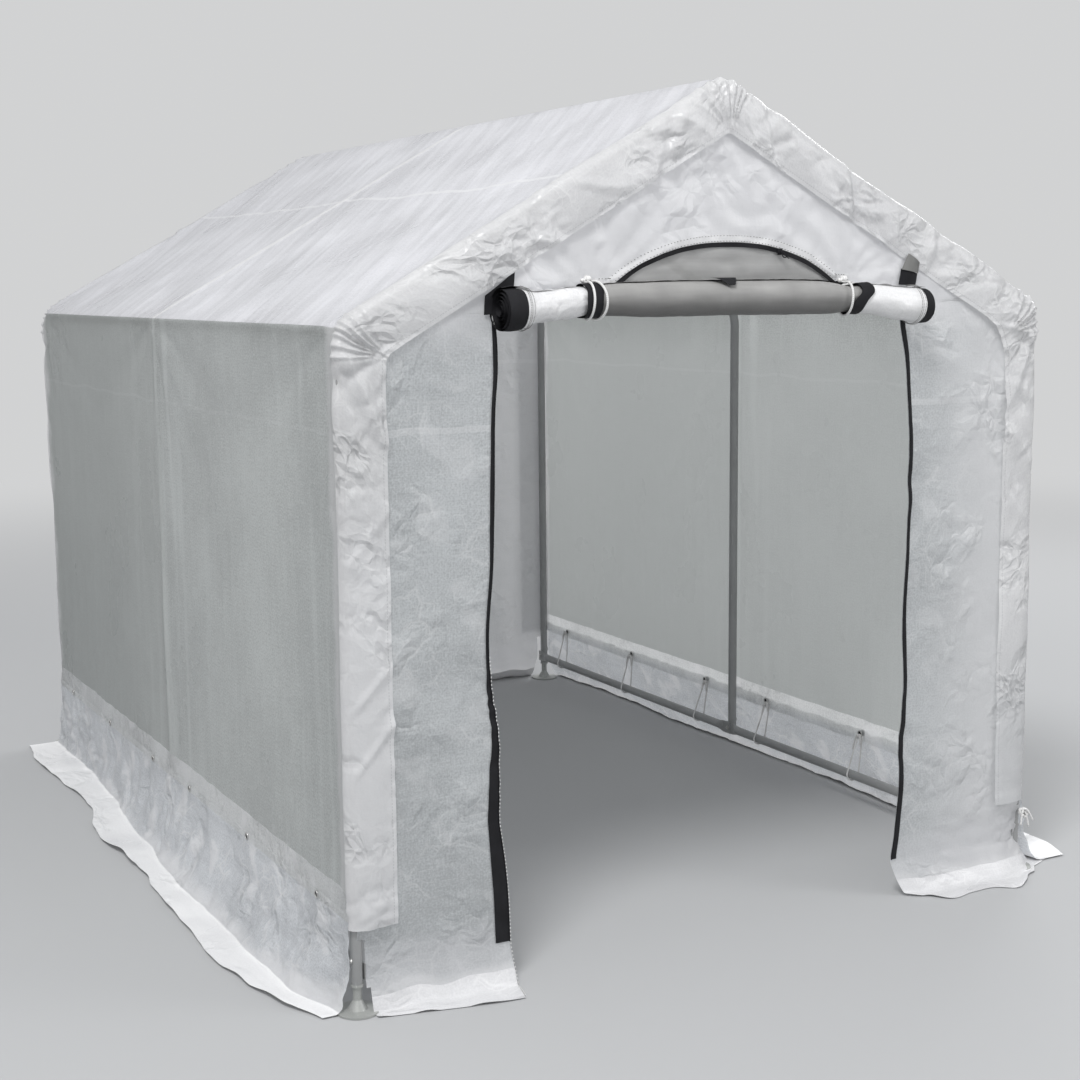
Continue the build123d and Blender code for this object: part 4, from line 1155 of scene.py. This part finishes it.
def on_roll(x, bearing, away):
    """Places at a bearing and a distance from the rolled door's axis."""
    height = ROLL_Z + curve(ROLL_RISES, x)
    return together(x, ROLL_Y - 0.001 + away * np.cos(bearing), height + away * np.sin(bearing))


def make_roll():
    """The door rolled up as one spiral of film and screen, with stitches round its hems."""
    folds, cells = Lattice(51), Cells(52)
    x = np.linspace(ROLL_LOW.x, ROLL_END, 150)[:, None]
    turn = np.linspace(0, 2 * pi * ROLL_TURNS, ROLL_TURNS * ROLL_SIDES + 1)[None, :]
    wound = turn / (2 * pi * ROLL_TURNS)
    radius = ROLL_CORE + (roll_radius(x) - ROLL_CORE) * wound
    hem = np.minimum(x - ROLL_LOW.x, ROLL_END - x)
    ends = smooth(0.03, 0.0, hem)
    outer = smooth(0.86, 0.97, wound)
    slack = smooth(-0.53, -0.50, x) * smooth(-0.36, -0.40, x)
    slack += smooth(0.34, 0.37, x) * smooth(0.50, 0.47, x)
    radius = radius * (1 - 0.03 * ends) + 0.0006 * folds(turn * 3, x / 0.05) * wound
    radius += (0.0012 + 0.0030 * slack) * crumpled(cells, folds, x / 0.05, turn / 1.2, 2) * outer
    radius += 0.0016 * folds(x / 0.2, turn / 2.0) * outer
    near_strap = np.exp(-(((x + 0.372) / 0.06) ** 2)) + np.exp(-(((x - 0.325) / 0.06) ** 2))
    radius += 0.0014 * np.sin(turn * 13 + 2 * folds(x / 0.1, turn)) * near_strap * outer
    points = on_roll(x, turn + 1.75, radius)
    points[..., 0] += 0.0035 * folds(turn / 2.1, 3.0) * ends
    length = running(np.diff(turn[0]) * (ROLL_CORE + 0.027 * wound[0, 1:]))
    faces = grid_faces(*points.shape[:2])
    place = x[faces[:, 0] // turn.size, 0]
    kind = np.select([place < -0.538, place < -0.375, place < 0.318, place < 0.490], [2, 0, 1, 0], 2)
    piece = new_mesh("rolled_door", points, faces, together(x, length[None, :], hem), kind)
    finished(piece, [roll_film, roll_screen, black_tape], ["door_roll"])
    around = np.arange(0, 2 * pi, 0.075)
    stitches = [on_roll(place, around, roll_radius(place) + 0.0022)
                for place in (-0.531, -0.527, -0.520, 0.477, 0.481, 0.487)]
    coil("roll_stitches", np.concatenate(stitches), (0.0006, 0.0012, 0.0012), grey_thread_and_highlight_tape)


def ring_band(x_low, x_high, stand_off, thickness, seed, slack=0.0):
    """A closed strap round the roll, as a grid of sections."""
    folds = Lattice(seed)
    sides, corners = 56, 8
    bearing = np.linspace(0, 2 * pi, sides, endpoint=False)[:, None]
    across = np.array([0, 0.08, 0.5, 0.92, 1, 0.92, 0.5, 0.08])[None, :]
    layer = np.array([0.5, 1, 1, 1, 0.5, 0, 0, 0])[None, :]
    skew = 0.004 * folds(bearing * 1.3, 0.0) + slack * np.tanh(3.5 * np.sin(bearing + 0.2))
    x = x_low + (x_high - x_low) * across + skew
    radius = roll_radius(x) + stand_off + thickness * layer
    radius += 0.0012 * (1 + folds(bearing * 1.7, across * 1.5))
    cloth = together(bearing * 0.037, across * (x_high - x_low), 1.0)
    i, j = np.arange(sides)[:, None], np.arange(corners)[None, :]
    next_i, next_j = (i + 1) % sides * corners, (j + 1) % corners
    i = i * corners
    faces = together(i + j, next_i + j, next_i + next_j, i + next_j)
    return on_roll(x, bearing, radius).reshape(-1, 3), faces.reshape(-1, 4), cloth.reshape(-1, 3)


def make_straps():
    """The two webbing straps round the roll, and a loose tab."""
    assembled("webbing_straps", [
        ring_band(-0.392, -0.354, 0.0012, 0.0016, 61),
        ring_band(0.304, 0.338, 0.0012, 0.0016, 62, 0.013)], black_tape, ["roll_straps"])
    # The loose tab of webbing that hangs over the roll under the vent
    x, drop = np.meshgrid(np.linspace(-1, 1, 24), np.linspace(0, 1, 10))
    xs = -0.046 + x * (0.037 * (1 - 0.80 * drop**0.9)) + 0.009 * drop
    away = roll_radius(xs) + 0.0045 + 0.002 * np.sin(pi * drop)
    points = on_roll(xs, radians(100) + drop * radians(42), away)
    piece = new_mesh("vent_tab", points, grid_faces(*xs.shape), together(xs, drop * 0.03, 1.0))
    finished(piece, [black_tape])


def round_tube(path, radius, sides=10, closed=False):
    """A round tube along a path of points: its points, faces and cloth places."""
    path = np.asarray(path, float)
    way = np.roll(path, -1, 0) - np.roll(path, 1, 0) if closed else np.gradient(path, axis=0)
    way /= np.linalg.norm(way, axis=1, keepdims=True)
    normal = np.cross(way[0], [0.31, 0.52, 0.79])
    normals = []
    for direction in way:
        normal = normal - direction * (normal @ direction)
        normal = normal / np.linalg.norm(normal)
        normals.append(normal)
    normals = np.array(normals)
    binormals = np.cross(way, normals)
    bearing = np.linspace(0, 2 * pi, sides, endpoint=False)[None, :]
    around = np.cos(bearing)[..., None] * normals[:, None] + np.sin(bearing)[..., None] * binormals[:, None]
    points = path[:, None] + radius * around
    if closed:
        points, path = (np.concatenate([places, places[:1]]) for places in (points, path))
    length = running(np.linalg.norm(np.diff(path, axis=0), axis=1))[:, None]
    cloth = together(length + 0.002 * bearing / pi, 0.004 * bearing, 1.0)
    faces = grid_faces(len(path), sides, closed=True).tolist()
    if not closed:
        faces += [list(range(sides))[::-1], list(range((len(path) - 1) * sides, len(path) * sides))]
    return points.reshape(-1, 3), faces, cloth.reshape(-1, 3)


def ball(centre, size):
    """A toggle: a ball with flattened ends."""
    rows, columns = 14, 20
    polar_angle = np.linspace(0.001, pi - 0.001, rows)[:, None]
    bearing = np.linspace(0, 2 * pi, columns, endpoint=False)[None, :]
    out = np.sin(polar_angle)
    offsets = together(out * np.cos(bearing), out * np.sin(bearing), np.cos(polar_angle) * 0.9) * size
    offsets = offsets.reshape(-1, 3)
    return np.array(centre) + offsets, grid_faces(rows, columns, closed=True), offsets


def make_roll_cords():
    """The cord loops that tie the roll up, each end with toggles and a tail."""
    parts = []
    around = np.linspace(0, 2 * pi, 72, endpoint=False)
    for x, lean in ((-0.374, 0.006), (-0.357, -0.007), (0.294, 0.011)):
        xs = x + lean * np.cos(around - 0.3)
        parts.append(round_tube(on_roll(xs, around, roll_radius(xs) + 0.0068), 0.0026, closed=True))
    for x in (-0.368, 0.296):
        top = on_roll(x, 0.0, 0.0) + np.array([0, 0.010, 0.044])
        tail = [(0.004 * k * (-1) ** k, 0.010 - 0.006 * k, 0.006 - 0.004 * k) for k in range(6)]
        parts += [ball(top, 0.0080), ball(top + np.array([-0.013, -0.002, -0.003]), 0.0055),
                  round_tube(top + np.array(tail), CORD_RADIUS, 8)]
    assembled("roll_cords", parts, white_cord, ["roll_ties"])


# Cords from the cover's eyelets round the base rails

BAY = RIB_HALF_LENGTH / 2
TIE_SPACING = 0.44
TIE_PLACES = [bay + n * TIE_SPACING for bay in (-BAY, BAY) for n in (-1, 0, 1)]
RAIL_X = RIB_HALF_WIDTH - TUBE_RADIUS - 0.0014
RAIL_Z = 0.086
EYELET_Z = 0.204
CORD_RADIUS = 0.0022


def tie_path(side, y, lean):
    """A cord's path from its eyelet round the rail and back."""
    eyelet_x, swing = COVER_OUT - 0.008, TUBE_RADIUS + 0.0030
    down = np.linspace(0, 1, 14)[:, None]
    around = np.radians(np.linspace(12, -192, 26))
    share = (around - around[0]) / (around[-1] - around[0])
    loop = together(RAIL_X + swing * np.cos(around), y - 0.004 + 0.012 * share,
                    RAIL_Z + swing * np.sin(around))
    start = np.array([[eyelet_x, y - 0.006, 0.199]])
    end = np.array([[eyelet_x - 0.003, y + 0.007, 0.203]])
    out, back = start + (loop[:1] - start) * down, loop[-1:] + (end - loop[-1:]) * down
    path = np.concatenate([out[:-1], loop, back[1:]])
    path[:, 1] += lean * (path[:, 2] - RAIL_Z)
    path[:, 0] *= side
    return path


def make_rail_cords(name, side, seed):
    """The knotted cords along one base rail, each a little different."""
    chance = np.random.default_rng(seed)
    parts = []
    turn = np.linspace(0, 4 * pi, 40)
    t = np.linspace(0, 1, 12)
    for y in TIE_PLACES:
        path = tie_path(side, y, chance.uniform(-0.12, 0.12))
        knot = path[-1] + np.array([-side * 0.002, -0.006, -0.006])
        windings = together(0.0035 * np.cos(turn), turn * 0.0009 - 0.004, 0.0045 * np.sin(turn))
        parts += [round_tube(path, CORD_RADIUS, 8), round_tube(knot + windings, 0.0021, 8)]
        for way in (-1, 1):
            reach = chance.uniform(0.02, 0.045)
            drop = -reach * t**1.6 + 0.012 * np.sin(pi * t)
            tail = knot + together(-side * 0.006 * t, way * reach * 0.5 * t, drop)
            parts.append(round_tube(tail, 0.0020, 8))
    assembled(name, parts, white_cord, [name.replace("cords", "ties")])


def square_to(direction):
    """A direction at length 1, and two more square to it and to each other."""
    direction = Vector(direction).normalized()
    across = direction.orthogonal().normalized()
    return direction, across, direction.cross(across)


def circle(centre, radius, normal, sides):
    """Points round a centre, in the plane across a normal."""
    _, across, other = square_to(normal)
    turn = np.linspace(0, 2 * pi, sides, endpoint=False)
    points = [Vector(centre) + across * (radius * cos(a)) + other * (radius * sin(a)) for a in turn]
    return np.array(points)


def ring(centre, radius, thickness, normal):
    """A small torus, as an eyelet's rim."""
    return round_tube(circle(centre, radius, normal, 20), thickness, 8, closed=True)


def disc(centre, radius, normal):
    """A small flat disc."""
    points = circle(centre, radius, normal, 16)
    return points, [list(range(len(points)))], points


def make_eyelets():
    """A rim on both faces of the cover at each tie, with a black disc in it as painted shade for the hole.
    """
    rims, hole_shades = [], []
    for side in (-1, 1):
        for y in TIE_PLACES:
            for offset in (0.0048, -0.0085):
                x, facing = side * (COVER_OUT + offset), side * np.sign(offset)
                rims.append(ring((x, y, EYELET_Z), 0.0075, 0.0018, (1, 0, 0)))
                # Painted shade: a black disc on the film stands in for the dark hole
                hole_shades.append(disc((x + 0.0004 * facing, y, EYELET_Z), 0.0066, (facing, 0, 0)))
    assembled("eyelet_rims", rims, bolt_zinc)
    assembled("eyelet_hole_shades", hole_shades, black_tape)


# Bolts through the rails' flattened ends

TAB = 0.0026  # a flattened end and its gap; two of them lie over each other at the middle rib


def hex_head(centre, axis, width, height):
    """A bolt's head with a washer under it."""
    axis, across, other = square_to(axis)
    count, washer, washer_height = 24, 0.0068, 0.0012
    stations = [(washer, 0.0, True), (washer, washer_height, True), (width, washer_height, False),
                (width, height * 0.8, False), (width * 0.86, height, False)]
    points, faces = [], []
    for radius, rise, is_round in stations:
        for n in range(count):
            a = 2 * pi * n / count
            flat = radius if is_round else radius * cos(pi / 6) / cos((a % (pi / 3)) - pi / 6)
            middle = Vector(centre) + axis * rise
            points.append(middle + across * (flat * cos(a)) + other * (flat * sin(a)))
    last = (len(stations) - 1) * count
    for k in range(0, last, count):
        for n in range(count):
            m = (n + 1) % count
            faces.append([k + n, k + m, k + count + m, k + count + n])
    faces.append([last + n for n in range(count)])
    points = np.array(points)
    return points, faces, points


def make_bolts():
    """Bolt heads inside and outside the legs and ribs, along the base rails."""
    parts = []
    for y in RIBS:
        stack = TAB if y == 0 else 0.0
        for side in (-1, 1):
            seat = RIB_HALF_WIDTH - TUBE_RADIUS - TAB - stack
            outside = RIB_HALF_WIDTH + TUBE_RADIUS - 0.0008
            parts += [hex_head((side * seat, y, RAIL_Z), (-side, 0, 0), 0.0052, 0.0048),
                      hex_head((side * outside, y, RAIL_Z + 0.024), (side, 0, 0), 0.0045, 0.0042)]
    piece = new_mesh("rail_bolts", *joined(parts))
    piece.data.shade_flat()
    finished(piece, [bolt_zinc])


def make_corner_knot():
    """The knot of cord that gathers the film at the foot of the right front leg."""
    centre = np.array([0.905, -LIP_FACE - 0.012, 0.150])
    turn, t = np.linspace(0, 6 * pi, 70), np.linspace(0, 1, 14)
    wobble = 0.0015 * np.sin(turn * 2.3)
    knot = centre + together((0.010 + wobble) * np.cos(turn), 0.006 * np.sin(turn * 1.7),
                             (0.009 + wobble) * np.sin(turn))
    parts = [round_tube(knot, 0.0026, 8)]
    for way, drop in ((-1, 0.028), (1, 0.020), (0.3, 0.034)):
        tail = centre + together(way * 0.020 * t, -0.012 * t, 0.008 * np.sin(pi * t) - drop * t**1.5)
        parts.append(round_tube(tail, CORD_RADIUS, 8))
    assembled("corner_knot", parts, white_cord)


# The frame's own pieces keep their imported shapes

def finish_frame():
    """Coats the tubes and plates the feet, with sharp edges kept."""
    for name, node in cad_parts.items():
        if name.startswith("leg_") or name.endswith(("_rail", "_bends")):
            material = grey_coat
        elif name == "feet":
            material = zinc
        else:
            continue
        node.data.materials.clear()
        node.data.materials.append(material)
        node.data.shade_smooth()
        node.data.set_sharp_from_angle(angle=radians(40))


# Floor, light and camera

FLOOR_SHADE = (0.47, 0.475, 0.48)
BACKDROP = (0.64, 0.645, 0.65)
SKY = (0.97, 0.98, 1.0)
SKY_STRENGTH = 0.72
LIT_POINT = (0, 0, 1.0)


def make_floor():
    """A plain floor that fades into the backdrop."""
    n = Nodes(bpy.data.materials.new("floor"))
    place = n.add("ShaderNodeTexCoord").outputs["Object"]
    distance = n.add("ShaderNodeVectorMath", {0: place}, operation="LENGTH").outputs["Value"]
    far = n.ramp(distance, 2.5, 9.0, interpolation_type="SMOOTHSTEP")
    ground = n.add("ShaderNodeBsdfDiffuse", {"Color": (*FLOOR_SHADE, 1)}).outputs[0]
    haze = n.add("ShaderNodeEmission", {"Color": (*BACKDROP, 1), "Strength": 1.0}).outputs[0]
    corners = [(x, y, -0.0006) for x, y in ((-40, -40), (40, -40), (40, 40), (-40, 40))]
    floor = new_mesh("floor", corners, [[0, 1, 2, 3]])
    floor.data.materials.append(n.ended(n.blend(far, ground, haze)))


def make_world():
    """A bright sky that lights the piece, and a plain backdrop that is seen behind it."""
    world = bpy.data.worlds.new("studio")
    bpy.context.scene.world = world
    n = Nodes(world, "ShaderNodeOutputWorld")
    rays = n.add("ShaderNodeLightPath").outputs
    seen = n.math("MAXIMUM", rays["Is Camera Ray"], rays["Is Glossy Ray"])
    seen = n.math("MAXIMUM", seen, rays["Is Transmission Ray"])
    sky = n.add("ShaderNodeBackground", {"Color": (*SKY, 1), "Strength": SKY_STRENGTH}).outputs[0]
    backdrop = n.add("ShaderNodeBackground", {"Color": (*BACKDROP, 1)}).outputs[0]
    n.ended(n.blend(seen, sky, backdrop))


def lamp(name, place, size, power):
    """A round white lamp that looks at the middle of the piece."""
    data = bpy.data.lights.new(name, "AREA")
    data.shape = "DISK"
    data.size, data.energy = size, power
    light = bpy.data.objects.new(name, data)
    light.location = place
    light.rotation_euler = (Vector(LIT_POINT) - Vector(place)).to_track_quat("-Z", "Y").to_euler()
    bpy.context.scene.collection.objects.link(light)


def make_lights():
    """A soft key from the left, a weak fill from the right and a rim light from behind."""
    lamp("key", (-3.2, -3.8, 6.8), 2.2, 340)
    lamp("fill", (4.5, -5.0, 3.0), 3.0, 80)
    lamp("rim", (4.9, 2.7, 3.7), 2.6, 95)


CAMERA_PLACE = (-2.203, -4.3294, 1.5)
CAMERA_YAW, CAMERA_PITCH, CAMERA_ROLL = radians(26.53), radians(8.33), radians(-0.96)
FOCAL_PIXELS = 1715.3
FRAME_PIXELS = 1080
AXIS_PIXEL = (461.1, 529.2)


def make_camera():
    """The photograph's camera, with its axis off the middle of the frame."""
    forward = Vector((sin(CAMERA_YAW) * cos(CAMERA_PITCH), cos(CAMERA_YAW) * cos(CAMERA_PITCH),
                      -sin(CAMERA_PITCH)))
    level = Vector((cos(CAMERA_YAW), -sin(CAMERA_YAW), 0))
    above = level.cross(forward)
    right = level * cos(CAMERA_ROLL) + above * sin(CAMERA_ROLL)
    up = above * cos(CAMERA_ROLL) - level * sin(CAMERA_ROLL)
    data = bpy.data.cameras.new("camera")
    data.sensor_width = 36
    data.lens = FOCAL_PIXELS / FRAME_PIXELS * data.sensor_width
    data.shift_x = (FRAME_PIXELS / 2 - AXIS_PIXEL[0]) / FRAME_PIXELS
    data.shift_y = (AXIS_PIXEL[1] - FRAME_PIXELS / 2) / FRAME_PIXELS
    camera = bpy.data.objects.new("camera", data)
    turn = Matrix((right, up, -forward)).transposed().to_4x4()
    camera.matrix_world = Matrix.Translation(CAMERA_PLACE) @ turn
    bpy.context.scene.collection.objects.link(camera)
    bpy.context.scene.camera = camera


make_camera()
make_cover()
make_front()
make_back()
make_skirt("left_skirt_sheet", -1, LEFT_FOOT, LEFT_REACH, 71, ground_film)
make_skirt("right_skirt_sheet", 1, RIGHT_FOOT, RIGHT_REACH, 81, ground_film_painted_darker)
make_door_zip("door_zip_left", DOOR_LEFT, -1, 0.0095, 0.028)
make_door_zip("door_zip_right", DOOR_RIGHT, 1, 0.0110, 0.014)
make_zip_coils()
make_vent()
make_door_trim()
make_roll()
make_straps()
make_roll_cords()
make_rail_cords("left_rail_cords", -1, 91)
make_rail_cords("right_rail_cords", 1, 92)
make_eyelets()
make_bolts()
make_corner_knot()
finish_frame()
make_floor()
make_world()
make_lights()

scene = bpy.context.scene
scene.view_settings.view_transform = "Standard"
